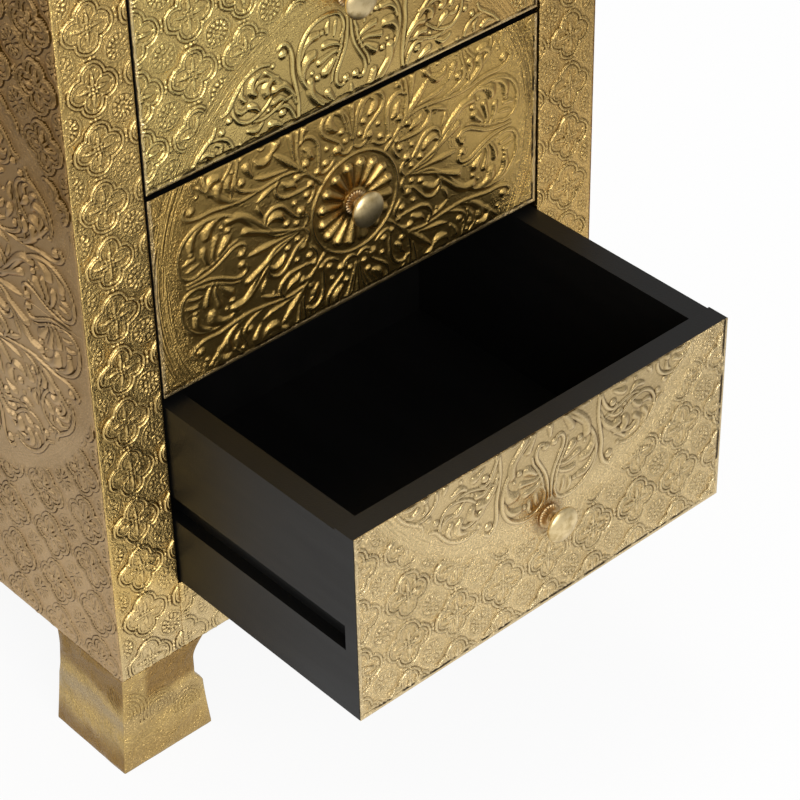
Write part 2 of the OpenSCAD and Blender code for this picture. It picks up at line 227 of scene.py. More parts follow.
# %% Stage and light
FLOOR_HALF = 6.0
FLOOR_SHARE, CAMERA_GLOW = 0.9, 1.02
POOL_FAR, POOL_BEHIND, POOL_RIGHT = (0.25, 1.3, 0.62), (-0.45, 0.5, 0.5), (0.3, 0.95, 0.55)
HORIZON, CEILING, FILL = 0.8, 0.3, 0.5
LAMP_TARGET = Vector((0, 0, 0.3))


def pale_floor():
    """Pale floor: white with a soft shadow to the camera, and to the metal a pool of light.

    The pool is 1 before the cabinet, and dims with distance, to the rear and to the right.
    """
    finish = Finish("pale_floor")
    finish.surface(Base_Color=rgb(236, 236, 236), Roughness=0.9, Specular_IOR_Level=0.1)
    x, y, _ = finish.axes()
    pool = 1.0
    for value, (start, end, loss) in (((x * x + y * y) ** 0.5, POOL_FAR), (y, POOL_BEHIND), (x, POOL_RIGHT)):
        pool = pool * (1.0 - finish.between(value, start, end) * loss)
    to_camera, seen = finish.rays()
    strength = to_camera * CAMERA_GLOW + (1 - to_camera) * pool
    glow = finish.node("ShaderNodeEmission", {}, {"Color": (1, 1, 1, 1), "Strength": strength})
    plain = Value(finish, finish.shader.outputs[0])
    mixed = finish.node("ShaderNodeMixShader", {}, {0: seen.clip() * FLOOR_SHARE, 1: plain, 2: glow})
    finish.fill(finish.nodes["Material Output"], {"Surface": mixed})
    return finish.material


def add_floor(half):
    """A square floor at height 0."""
    mesh = bpy.data.meshes.new("floor")
    corners = [(-half, -half, 0), (half, -half, 0), (half, half, 0), (-half, half, 0)]
    mesh.from_pydata(corners, [], [(0, 1, 2, 3)])
    mesh.materials.append(pale_floor())
    floor = bpy.data.objects.new("floor", mesh)
    bpy.context.scene.collection.objects.link(floor)


def add_lamp(name, place, size, power):
    """Square soft lamp at a place, turned to face the cabinet."""
    data = bpy.data.lights.new(name, "AREA")
    data.shape = "SQUARE"
    data.size = size
    data.energy = power
    lamp = bpy.data.objects.new(name, data)
    lamp.location = place
    lamp.rotation_euler = (LAMP_TARGET - Vector(place)).to_track_quat("-Z", "Y").to_euler()
    bpy.context.scene.collection.objects.link(lamp)
    print("lamp", name, power, "W")


def add_world():
    """White at the horizon and dimmer overhead for the camera and the metal, an even fill for the rest."""
    world = bpy.data.worlds.new("studio")
    bpy.context.scene.world = world
    sky = Tree(world)
    place = sky.node("ShaderNodeTexCoord", {}, {}, "Generated")
    height = sky.node("ShaderNodeSeparateXYZ", {}, {"Vector": place}, "Z")
    inputs = {"Value": height, "From Min": 0.05, "From Max": 0.5, "To Min": HORIZON, "To Max": CEILING}
    shade = sky.node("ShaderNodeMapRange", dict(interpolation_type="SMOOTHSTEP"), inputs)
    _, seen = sky.rays()
    strength = sky.node("ShaderNodeMix", {}, {0: seen, 2: FILL, 3: shade})
    sky.fill(sky.nodes["Background"], {"Color": (1, 1, 1, 1), "Strength": strength})


add_floor(FLOOR_HALF)
add_world()
add_lamp("key", (-0.9, -2.3, 1.35), 1.9, 44)
add_lamp("side", (-2.0, 1.25, 0.75), 1.4, 5)
add_lamp("top", (0.4, 0.6, 2.6), 1.2, 18)

# %% [markdown]
# The brass is thin sheet, pressed into relief before it is fixed over the wood. A
# bump in the material would look flat from the side, so each sheet is a real
# surface: a fine grid lifted by a height that comes from formulas and strokes.

# %% Ridges and strokes
CELL = 0.25
REACH = 146.0
THINNEST = 0.3


def ridge(distance, half_width):
    """Round ridge of height 1: (1 - (distance / half_width) squared) to the power 0.75, never below 0."""
    return np.clip(1 - (distance / half_width) ** 2, 0, 1) ** 0.75


def smooth_line(points, step=0.3):
    """Catmull-Rom curve through points (x, y, half width), resampled every step millimetres."""
    k = np.array(points, float)
    if len(k) == 1:
        return k
    k = np.vstack([2 * k[0] - k[1], k, 2 * k[-1] - k[-2]])
    parts = []
    for a, b, c, d in zip(k[:-3], k[1:-2], k[2:-1], k[3:]):
        count = max(2, int(np.hypot(*(c - b)[:2]) / step))
        t = (np.arange(count) / count)[:, None]
        curve = 2 * b + (c - a) * t + (2 * a - 5 * b + 4 * c - d) * t**2
        parts.append(0.5 * (curve + (3 * (b - c) - a + d) * t**3))
    return np.vstack([*parts, k[-2][None]])


def press(field, points, roundness, fall):
    """Presses a stroke into the field: along its curve it keeps the highest of a row of domes.

    A dome of half width w is (0.4 + 0.42 w to the 0.8) high and falls off as (1 - (distance / w) to
    the power roundness) to the power fall. A low roundness gives the sharp back of a leaf.
    """
    limit = field.shape[0]
    for x, y, w in smooth_line(points):
        w = max(w, THINNEST)
        rows = slice(max(int((y - w) / CELL), 0), min(int((y + w) / CELL) + 2, limit))
        columns = slice(max(int((x - w) / CELL), 0), min(int((x + w) / CELL) + 2, limit))
        dy = (np.arange(limit)[rows] * CELL - y)[:, None]
        dx = (np.arange(limit)[columns] * CELL - x)[None, :]
        away = ((dx**2 + dy**2) / w**2) ** (roundness / 2)
        dome = (0.4 + 0.42 * w**0.8) * np.clip(1 - away, 0, 1) ** fall
        np.maximum(field[rows, columns], dome, out=field[rows, columns])


# %% [markdown]
# The medallion is eight times the same drawing: one arm lies along an axis, each
# arm is a mirror image of itself, and the diagonal mirrors one arm on the next.
# Only the strokes between the axis and the diagonal are drawn, in millimetres
# from the centre, each with its half width.

# %% Strokes of the medallion
STEMS = [
    [(44, 1.2, .8), (59, 3.5, 1.0), (66, 7.5, 1.2), (73, 14, 1.4), (81, 23, 1.5), (89, 30, 1.5),
     (98, 35.5, 1.5), (108, 38, 1.5), (118, 37, 1.4), (126, 32.5, 1.4), (131, 26, 1.3),
     (133, 18, 1.3), (132, 10, 1.2), (128, 5.5, 1.1), (121, 4, 1.0), (115, 6.5, .8)],
    [(127, 1.2, .8), (120, 1.4, 1.0), (113, 2.0, 1.1), (106, 4, 1.2), (99, 7.5, 1.3), (93, 10.5, 1.3),
     (87.5, 11, 1.3), (83.8, 8.5, 1.3), (84.2, 5.6, 1.3)],
    [(116, 5.0, .7), (108, 7.0, .8), (101, 10, .8), (95, 13.2, .8), (89, 14.4, .7)],
    [(40, 8, .8), (46, 11, 1.1), (51, 17, 1.3), (56, 22.5, 1.5), (62, 24, 1.5), (67, 21, 1.3),
     (68.5, 16.5, 1.0)],
    [(35, 27, .9), (43, 26.5, 1.3), (52, 27, 1.6), (58, 30.5, 1.6), (60.2, 36, 1.5), (57.5, 41, 1.1)],
    [(43, 37, 1.7), (37, 36, 1.3), (31, 31.5, .9)],
    [(25.5, 24.5, .9), (33, 33, 1.1), (41, 40, 1.2), (52, 42.6, 1.2), (62, 42, 1.1), (74, 40.3, 1.2),
     (86, 39.6, 1.3), (97, 41, 1.4), (107, 42.6, 1.4), (117, 42.5, 1.5), (124, 44.5, 1.5), (127.5, 48.5, 1.4),
     (125.5, 52, 1.2)],
    [(86, 41, .8), (94, 44.5, 1.1), (102, 50, 1.3), (109, 56, 1.3), (114.5, 62, 1.3)],
    [(92, 43, .7), (99, 49.5, 1.1), (106, 55, 1.3), (110, 61.5, 1.4), (110.5, 67.5, 1.3), (107.5, 71, 1.1)],
    [(118.5, 59, .9), (120, 66.5, 1.2), (117.8, 74.5, 1.3), (113, 81, 1.3), (107, 86, 1.3), (101.5, 90, 1.2),
     (99.5, 94.5, 1.0)],
    [(104, 87, .8), (97.5, 86.5, 1.1), (91.5, 83, 1.2), (88.5, 77, 1.2), (89.5, 70, 1.1), (92.5, 64, 1.0),
     (97, 59, .8)],
    [(87, 73, .7), (86, 66, .9), (88, 58, 1.0), (91, 51, .9), (92, 45, .7)],
    [(70, 41, .8), (78, 43, 1.2), (85, 46.5, 1.4), (88.5, 51, 1.4), (87.5, 55, 1.1)],
    [(39, .8, .7), (36.6, 5, 1.4), (38.2, 9.4, 1.0), (41, 11.5, .8)],
    [(35.4, 15.2, .8), (32.2, 19.4, 1.4), (31, 24, 1.0), (33, 27, .8)],
]
LEAVES = [
    [(62, 7.5, .7), (73, 18.5, 2.0), (81, 26, 2.8), (88, 30, 3.3), (94.5, 30.5, 3.5)],
    [(48, 2.5, .7), (58, 6, 1.3), (66, 9.3, 2.0), (74, 13.2, 2.6), (80.5, 16.5, 3.1), (83, 17.5, 3.1)],
    [(99, 35.5, 1.5), (105, 35, 3.0), (110, 31.5, 4.2), (111, 27.5, 3.8)],
    [(112, 36.5, 1.2), (118.5, 34, 2.3), (122.5, 29, 3.1), (122.8, 24, 2.8)],
    [(129, 15, .9), (125, 16.5, 1.9), (121.5, 16.5, 1.6)],
    [(127, 9.5, .8), (123, 10.8, 1.5), (118, 11.5, 1.0)],
    [(108.5, 5.5, .6), (112, 10, 1.5), (114, 16, 2.5), (114, 19, 2.7)],
    [(105.5, 6.5, .6), (107.5, 12, 1.3), (106.3, 18, 1.9), (104.8, 23, 2.6)],
    [(102, 8.5, .6), (103, 11.5, 1.4), (99.5, 15.5, 3.0), (97, 18.5, 3.8)],
    [(81, 0, 1.0), (76, 0, 2.3), (70, 0, 2.9), (62, 0, 1.8), (50, 0, .8), (40, 0, .6)],
    [(67.5, 14, 1.0), (63.5, 17.6, 2.7), (58.5, 16.5, 3.4), (55.5, 13, 2.0)],
    [(73.5, 31, .7), (72.5, 27, 1.7), (70, 22.5, .9)],
    [(73.5, 33, .8), (68, 36, 2.2), (62, 38.3, 1.6), (57, 39.5, .6)],
    [(54, 37.5, 1.0), (51, 34.5, 2.6), (47.5, 33.5, 3.0), (45, 31, 1.6)],
    [(90.5, 41, .8), (97, 45.5, 2.0), (101.5, 51, 3.2), (101, 56, 3.6)],
    [(73, 49.5, .8), (67, 47.5, 2.2), (58, 46.2, 1.6), (50, 45, .7)],
    [(36, 36, .7), (43, 43.5, 2.0), (50, 50, 3.2), (56, 56, 2.4), (59, 59, 1.2)],
    [(74, 62, 1.0), (71, 58.5, 2.8), (66, 57.5, 3.6), (62, 60.5, 1.8)],
    [(80, 60, 3.2), (79, 57, 2.4), (76, 52, 1.0)],
    [(108, 53, .9), (108.5, 58.5, 2.6), (105, 62.5, 3.6), (101, 62, 3.2)],
    [(115.5, 66, 1.0), (113, 71.5, 2.4), (107.5, 73, 3.0), (104, 70.5, 2.6)],
    [(112.5, 78.5, .8), (107.5, 80.5, 1.8), (103, 78, 2.3)],
    [(99.5, 84, .8), (96.5, 81.5, 1.7), (96.5, 77.5, 1.2)],
    [(92, 68, .8), (95.5, 71, 2.4), (97.5, 74, 2.8)],
    [(90.5, 47.5, .8), (94, 53, 2.2), (93.5, 57.5, 2.8)],
    [(84, 66, 1.0), (81, 71, 2.6), (83, 77, 1.4)],
]
BALLS = [
    (86.8, 3.6, 2.7), (123, 20.4, 1.9), (95.5, 24.5, 2.2), (52.5, 8.6, 2.4), (121, 49, 3.0), (84, 51.3, 2.8),
    (43, 36.5, 2.9), (90, 61.5, 1.4), (116.5, 56.5, 1.6), (45, 5.6, 2.2), (41.5, 12.5, 3.2),
    (36.5, 21.5, 2.6), (33.6, 28, 2.6), (65, 34.5, 1.2), (95, 89.5, 2.2), (68, 68, 2.6), (76, 70, 1.5),
    (46, 20, 2.0), (100, 28.5, 1.4),
]
STROKE_KINDS = ((STEMS, 2.0, 0.65), (LEAVES, 1.35, 0.9), ([[ball] for ball in BALLS], 2.0, 0.7))


def press_medallion():
    """Height of a quarter of the medallion, in millimetres, every CELL millimetres from its centre."""
    field = np.zeros((int(REACH / CELL) + 1,) * 2)
    for strokes, roundness, fall in STROKE_KINDS:
        for stroke in strokes:
            press(field, stroke, roundness, fall)
            press(field, [(x, -y, w) for x, y, w in stroke], roundness, fall)
    return np.maximum(field, field.T)


quarter = press_medallion()
print("medallion", quarter.shape, "relief", round(quarter.max(), 2), "mm")


def medallion(u, v):
    """Height of the medallion at (u, v) from its centre, between the four nearest cells of the quarter."""
    a, b = np.abs(u) / CELL, np.abs(v) / CELL
    last = quarter.shape[0] - 1
    inside = (a < last) & (b < last)
    a, b = np.minimum(a, last - 0.001), np.minimum(b, last - 0.001)
    j, i = a.astype(int), b.astype(int)
    s, t = a - j, b - i
    near = quarter[i, j] * (1 - s) + quarter[i, j + 1] * s
    far = quarter[i + 1, j] * (1 - s) + quarter[i + 1, j + 1] * s
    return np.where(inside, near * (1 - t) + far * t, 0)


# %% [markdown]
# Round the middle knob sits a fluted rosette inside a plain ring. Polar
# coordinates make it one formula: the angle is folded into one petal.

# %% Rosette
PETALS = 16
RING_R = 33.5
BOSS_R, BOSS_BEADS = 9.4, 20
PETAL_IN, PETAL_ROUND, PETAL_END_R = 9.5, 25.4, 4.2


def rosette(u, v):
    """Ring, petals and boss: a petal's half width grows evenly with radius and closes in a half circle."""
    r, angle = np.hypot(u, v), np.arctan2(v, u)
    turn = (angle * PETALS / (2 * np.pi)) % 1 - 0.5
    across = turn * 2 * np.pi / PETALS * r
    cone = np.clip(1.2 + (r - 11) * 0.19, 0.2, PETAL_END_R)
    cap = np.sqrt(np.clip(PETAL_END_R**2 - np.clip(r - PETAL_ROUND, 0, None) ** 2, 1e-4, None))
    half = np.minimum(cone, cap)
    petal = (0.5 + 0.62 * half) * np.clip(1 - (across / half) ** 2, 0, 1) ** 0.6
    petal = petal * np.clip((r - PETAL_IN) / 4, 0, 1)
    petal = np.where((r > PETAL_IN) & (r < PETAL_ROUND + PETAL_END_R), petal, 0)
    beads = 0.5 * ridge(r - 7.4, 1.0) * (0.6 + 0.4 * np.cos(BOSS_BEADS * angle))
    boss = np.where(r < BOSS_R, 0.9 * np.clip(1 - (r / BOSS_R) ** 8, 0, 1) ** 0.5 + beads, 0)
    return np.maximum.reduce([1.1 * ridge(r - RING_R, 1.1), petal, boss])


# %% [markdown]
# Outside the medallion the sheet repeats a small pattern: four-lobed flowers on a
# square lattice, and dotted rosettes between them. Folding the coordinates into
# one cell draws them all at once.

# %% Lattice
PITCH = 37.3
LOBE_AT, LOBE_R, INNER_LINE = 8.0, 8.2, 2.2
SPINDLE_IN, SPINDLE_OUT, TIP_AT = 1.5, 10.5, 12.8
DAISY_R, DAISY_PETALS, EYE_R, EYE_PETALS, DAISY_RIM = 5.7, 12, 2.8, 7, 8.6


def fold(value, pitch):
    """Distance from the nearest of a row of places that lie pitch apart."""
    return np.abs(value - pitch * np.round(value / pitch))


def lattice(u, v, pitch_u=PITCH, pitch_v=PITCH, bold=1.0):
    """Height of the lattice, with a four-lobed flower centred on (0, 0) and its lines bold times as wide.

    major and minor are the larger and the smaller distance from the flower's centre, so one lobe
    stands for all four: a circle of radius LOBE_R round (LOBE_AT, 0), with a finer line inside it, a
    low swell and a spindle along its middle. Beads sit at the centre and beyond each lobe, knots half way to
    the next flower. A daisy of 12 petals with an eye and a rim fills the gap between four flowers.
    """
    a, b = fold(u, pitch_u), fold(v, pitch_v)
    major, minor = np.maximum(a, b), np.minimum(a, b)
    from_lobe = np.hypot(major - LOBE_AT, minor)
    lobe = from_lobe - LOBE_R
    outline = 0.9 * ridge(lobe, 0.75 * bold) + 0.65 * ridge(lobe + INNER_LINE, 0.6 * bold)
    swell = 0.12 * np.clip(1 - (from_lobe / 6.2) ** 2, 0, 1)
    half = bold * (0.35 + np.exp(-((major - 5.2) / 2.3) ** 2))
    along = (major > SPINDLE_IN) & (major < SPINDLE_OUT)
    spindle = 0.75 * np.where(along, np.clip(1 - (minor / half) ** 2, 0, 1) ** 0.7, 0)
    tip, middle = np.hypot(major - TIP_AT, minor), np.hypot(major, minor)
    beads = np.maximum(0.5 * ridge(tip, 1.1), 0.7 * ridge(middle, 1.4))
    gap = np.where(a > b, a - pitch_u / 2, b - pitch_v / 2)
    knot, pair = np.hypot(gap, minor), np.hypot(gap, minor * 0.5 - 1.5)
    knots = np.maximum(0.7 * ridge(knot, 1.2), 0.6 * ridge(pair, 0.9))
    c, d = a - pitch_u / 2, b - pitch_v / 2
    r, angle = np.hypot(c, d), np.arctan2(d, c)
    daisy = 0.65 * ridge(r - DAISY_R, 1.7 * bold) * (0.5 + 0.5 * np.cos(DAISY_PETALS * angle))
    eye = 0.6 * ridge(r - EYE_R, 1.1 * bold) * (0.5 + 0.5 * np.cos(EYE_PETALS * angle))
    rim = 0.35 * ridge(r - DAISY_RIM, 0.6 * bold)
    return np.maximum.reduce([outline, swell + spindle, beads, knots, daisy, eye, rim])


# %% [markdown]
# A hand-pressed sheet is never even. Smooth random numbers move and weaken the
# pattern from place to place, and slow waves bend the sheet as a whole.

# %% Unevenness
PATCH_GRID = (97, 89)
WAVES = [(61, 0.4), (87, 1.9), (110, 2.8)]


def patches(u, v, size, seed):
    """Smooth random numbers from -1 to 1: one for each corner of a square grid, blended between them."""
    m, n = PATCH_GRID
    numbers = np.random.default_rng(seed).uniform(-1, 1, PATCH_GRID)
    i, j = np.floor(u / size).astype(int), np.floor(v / size).astype(int)
    s, t = u / size - i, v / size - j
    s, t = s * s * (3 - 2 * s), t * t * (3 - 2 * t)
    near = numbers[i % m, j % n] * (1 - s) + numbers[(i + 1) % m, j % n] * s
    far = numbers[i % m, (j + 1) % n] * (1 - s) + numbers[(i + 1) % m, (j + 1) % n] * s
    return near * (1 - t) + far * t


def waves(u, v, seed):
    """Mean of three crossing sine waves, 61 to 110 mm long."""
    total = 0
    for i, (length, angle) in enumerate(WAVES):
        phase = (u * np.cos(angle + seed) + v * np.sin(angle + seed)) * 2 * np.pi / length
        total = total + np.sin(phase + 1.7 * seed + i)
    return total / 3


# %% [markdown]
# Every flat sheet is built alike: a grid for the pressed face, one plain face
# behind, and narrow walls between them. How far a point stands above those round
# it is stored with it, so that the finish can darken hollows, with patina and painted
# shade, and brighten ridges, with polish and a painted highlight.

# %% Meshes from arrays
SHEET_T = 0.6
EDGE_ROLL, EDGE_ROLL_W, EDGE_CALM_W = 0.25, 0.9, 1.5
X, Y, Z = np.eye(3)


def grid_quads(rows, columns, first=0, around=False):
    """Corner numbers of the quads of a grid of points, closed round its columns if asked."""
    i = np.arange(rows - 1)[:, None] * columns
    j = np.arange(columns - (0 if around else 1))[None, :]
    a, b = i + j, i + (j + 1) % columns
    return np.stack([a, b, b + columns, a + columns], -1).reshape(-1, 4) + first


def add_piece(name, points, quads, flats=(), attributes=None, smooth=None):
    """Object at the origin from points in millimetres, quads, and flat faces of many corners.

    The first smooth quads are shaded smooth, or all of them. attributes hold a number for each point.
    """
    sizes = np.concatenate([np.full(len(quads), 4), np.array([len(f) for f in flats], int)]).astype(np.int32)
    corners = np.concatenate([quads.ravel(), *[np.asarray(f) for f in flats]]).astype(np.int32)
    mesh = bpy.data.meshes.new(name)
    mesh.vertices.add(len(points))
    mesh.vertices.foreach_set("co", (points * MM).astype(np.float32).ravel())
    mesh.loops.add(len(corners))
    mesh.loops.foreach_set("vertex_index", corners)
    mesh.polygons.add(len(sizes))
    mesh.polygons.foreach_set("loop_start", np.concatenate([[0], np.cumsum(sizes)[:-1]]).astype(np.int32))
    shaded = np.zeros(len(sizes), bool)
    shaded[: len(quads) if smooth is None else smooth] = True
    mesh.polygons.foreach_set("use_smooth", shaded)
    for key, values in (attributes or {}).items():
        full = np.zeros(len(points), np.float32)
        full[: values.size] = values.ravel()
        mesh.attributes.new(key, "FLOAT", "POINT").data.foreach_set("value", full)
    mesh.update(calc_edges=True)
    mesh.validate()
    piece = bpy.data.objects.new(name, mesh)
    bpy.context.scene.collection.objects.link(piece)
    print(name, (sizes - 2).sum(), "triangles")
    return piece


def finished(piece, material, body, replaced):
    """Gives a piece its material and its body, and hides the node it stands for."""
    piece.data.materials.append(material)
    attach(piece, body)
    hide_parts(replaced)


def blur(height, times):
    """Height averaged with its four neighbours, again and again."""
    for _ in range(times):
        edged = np.pad(height, 1, mode="edge")
        height = (edged[1:-1, :-2] + edged[1:-1, 2:] + edged[:-2, 1:-1] + edged[2:, 1:-1] + 4 * height) / 8
    return height


def plate_arrays(corner, along, up, out, size, step, relief, part=(0.0, 1.0)):
    """Points, quads, back face, attributes and smooth count of a flat sheet.

    corner is the lower left corner of its face, and along, up and out are its axes. relief(u, v) is
    its height, averaged over four places round each point so that thin lines stay smooth. Close to
    its edges the face rolls back by EDGE_ROLL. part keeps the rows between two shares of the height.
    """
    columns, rows = (int(round(s / t)) + 1 for s, t in zip(size, step))
    u, v = np.meshgrid(np.linspace(0, size[0], columns), np.linspace(0, size[1], rows))
    edge = np.minimum.reduce([u, size[0] - u, v, size[1] - v])
    du, dv = step[0] / 4, step[1] / 4
    near = [relief(u + i * du, v + j * dv) for i, j in ((-1, -1), (-1, 1), (1, -1), (1, 1))]
    height = sum(near) / 4 * np.clip(edge / EDGE_CALM_W, 0, 1)
    height = height - EDGE_ROLL * np.clip(1 - edge / EDGE_ROLL_W, 0, 1) ** 2
    crease = height - blur(height, int(max(2, (1.6 / step[0]) ** 2)))
    kept = slice(int(part[0] * (rows - 1)), int(part[1] * (rows - 1)) + 1)
    u, v, height, crease = u[kept], v[kept], height[kept], crease[kept]
    rows = len(u)
    face = corner + u[..., None] * along + v[..., None] * up + height[..., None] * out
    number = np.arange(rows * columns).reshape(rows, columns)
    rim = np.concatenate([number[0, :-1], number[:-1, -1], number[-1, :0:-1], number[:0:-1, 0]])
    back = face.reshape(-1, 3)[rim]
    back = back - ((back - corner) @ out)[:, None] * out - SHEET_T * out
    points = np.vstack([face.reshape(-1, 3), back])
    behind = rows * columns + np.arange(len(rim))
    wall = np.stack([np.roll(rim, -1), rim, behind, np.roll(behind, -1)], -1)
    quads = np.vstack([grid_quads(rows, columns), wall])
    return points, quads, [behind[::-1]], {"crease": crease}, (rows - 1) * (columns - 1)


def joined(front, strip):
    """Two sheets as one set of arrays, the pressed one first."""
    points, quads, flats, attributes, smooth = front
    more_points, more_quads, more_flats, _, _ = strip
    count = len(points)
    points = np.vstack([points, more_points])
    quads = np.vstack([quads, more_quads + count])
    return points, quads, flats + [f + count for f in more_flats], attributes, smooth


# %% [markdown]
# Each sheet asks for the same ingredients at its own strength: the medallion lies
# deepest on the middle drawer, where the eye falls, and shallower elsewhere.

# %% Pattern of one sheet
SMOOTH_BAND = (149.0, 153.0)
ROSETTE_R = (34, 36)
WAVE_RISE, PATCH_RISE, SHIFT = 0.12, 0.1, 0.45


def pattern(centre=None, rise=1.0, lattice_at=(0, 0), lattice_rise=1.0, pitch=(PITCH, PITCH),
            rosette_rise=0.0, seed=0.0, bold=1.0):
    """Relief of a sheet in its own millimetres: medallion round centre, lattice beyond it, slow waves."""

    def relief(u, v):
        height = WAVE_RISE * waves(u, v, seed) + PATCH_RISE * patches(u, v, 9, 5)
        pressed = np.clip(0.85 + 0.35 * patches(u, v, 11, 6), 0.45, 1.15)
        u_, v_ = u + SHIFT * patches(u, v, 5.5, 7), v + SHIFT * patches(u, v, 5.5, 8)
        flowers = lattice_rise * pressed * lattice(u_ - lattice_at[0], v_ - lattice_at[1], *pitch, bold)
        if centre is None:
            return height + flowers
        du, dv = u - centre[0], v - centre[1]
        r = np.hypot(du, dv)
        beyond = np.clip((r - SMOOTH_BAND[0]) / (SMOOTH_BAND[1] - SMOOTH_BAND[0]), 0, 1)
        scrolls = rise * medallion(du, dv)
        if rosette_rise:
            raised = np.maximum(scrolls * (r > ROSETTE_R[0]), rosette_rise * rosette(du, dv))
            scrolls = np.where(r < ROSETTE_R[1], raised, scrolls)
        return height + np.maximum(scrolls, flowers * beyond)

    return relief


# %% [markdown]
# Brass. The sheet is warm yellow metal, satin rather than polished, with brown
# in the hollows, part patina and part painted shade, ridges rubbed bright with a painted
# highlight, and a fine grain from the press. Some sheets are painted darker or paler across
# their face as well, a painted shade and a painted reflection.
# A combed band runs round the medallion, a paler hem lines the drawers, and red
# tarnish sits round the knobs. One function makes it, with a setting for each.

# %% Brass finish
CALM = 0.3
COMB_IN, COMB_OUT, COMB_SOFT, COMB_PITCH, COMB_ALONG = 139, 152, 12, 1.3, 24
PALE, GOLD, DEEP = rgb(240, 213, 158), rgb(236, 199, 124), rgb(222, 184, 106)
SIDE, SIDE_LOW_REFLECTION, BROWN = rgb(190, 152, 98), rgb(222, 188, 139), rgb(78, 54, 18)
AMBER, FOLD_REFLECTION, RED_TARNISH = rgb(136, 98, 46), rgb(186, 168, 140), rgb(140, 78, 36)
HEM, HEM_LINE = rgb(228, 206, 162), rgb(44, 30, 12)
RUBBED_HIGHLIGHT = (1.1, 1.17, 1.4, 1.0)


def combed_band(f, centre):
    """0 inside a medallion and 1 beyond it, and the height of the combed arcs round it.

    The arcs are a noise that hardly changes along them and quickly with the radius.
    """
    x, y, z = f.axes()
    r = f.distance(centre)
    beyond = f.between(r, (COMB_IN - COMB_SOFT) * MM, COMB_IN * MM)
    band = f.between(r, COMB_IN * MM, (COMB_IN + 2) * MM) * f.between(r, (COMB_OUT + 3) * MM, COMB_OUT * MM)
    arc = {0: r * (1 / (COMB_PITCH * MM)), 1: (x + y) * COMB_ALONG, 2: z * COMB_ALONG}
    place = f.node("ShaderNodeCombineXYZ", {}, arc)
    return beyond, (f.noise(1.0, 2, 0.5, place=place) - 0.5) * band


def hem_edge(f, tone, cloud, left, right, below, width, rubbed):
    """Colour with a pale hem along the left, right and lower edges, and where that hem is.

    The hem is rubbed off in specks, and a broken dark line ends it on the right and below.
    """
    x, _, z = f.axes()
    inside = (z - below).maths("MINIMUM", right - x) + (cloud - 0.5) * 0.0006
    edge = (inside - width).maths("ABSOLUTE")
    specks = f.noise(300, 3, 0.7) * 1.6 - 0.2
    rim = f.between(inside.maths("MINIMUM", x - left), width, width * 0.7) * specks
    rim = (rim * rubbed).clip()
    broken = f.between(f.noise(90, 3, 0.6), 0.4, 0.56)
    tone = f.mix(rim, tone, HEM)
    return f.mix(f.between(edge, 0.001, 0.0005) * broken * 0.95, tone, HEM_LINE), rim


def knob_tarnish(f, tone, cloud, place, inner, outer):
    """Colour with red-brown tarnish of radius inner round a place, and a fainter stain of radius outer."""
    r = f.distance(place) + cloud * 0.003
    tone = f.mix(f.between(r, outer * 1.1 * MM, outer * 0.8 * MM) * 0.32, tone, BROWN)
    return f.mix(f.between(r, inner * 1.3 * MM, inner * 0.6 * MM) * 0.75, tone, RED_TARNISH)


def foot_bands(f, tone):
    """Colour with the bands of a foot: amber under the body, a painted shadow, darker amber towards
    the floor, and between them a pale band of painted reflection. banded weakens the lower two.
    """
    depth, banded = f.attribute("depth") + (f.noise(26, 4, 0.6) - 0.5) * 0.3, f.attribute("banded")
    tone = f.mix(f.between(depth, 0.38, 0.45) * f.between(depth, 0.64, 0.5) * 0.5 * banded, tone, FOLD_REFLECTION)
    amber = f.between(depth, 0.38, 0.24) * 0.7 + f.between(depth, 0.68, 0.9) * 0.75 * banded
    return f.mix(amber, tone, AMBER)


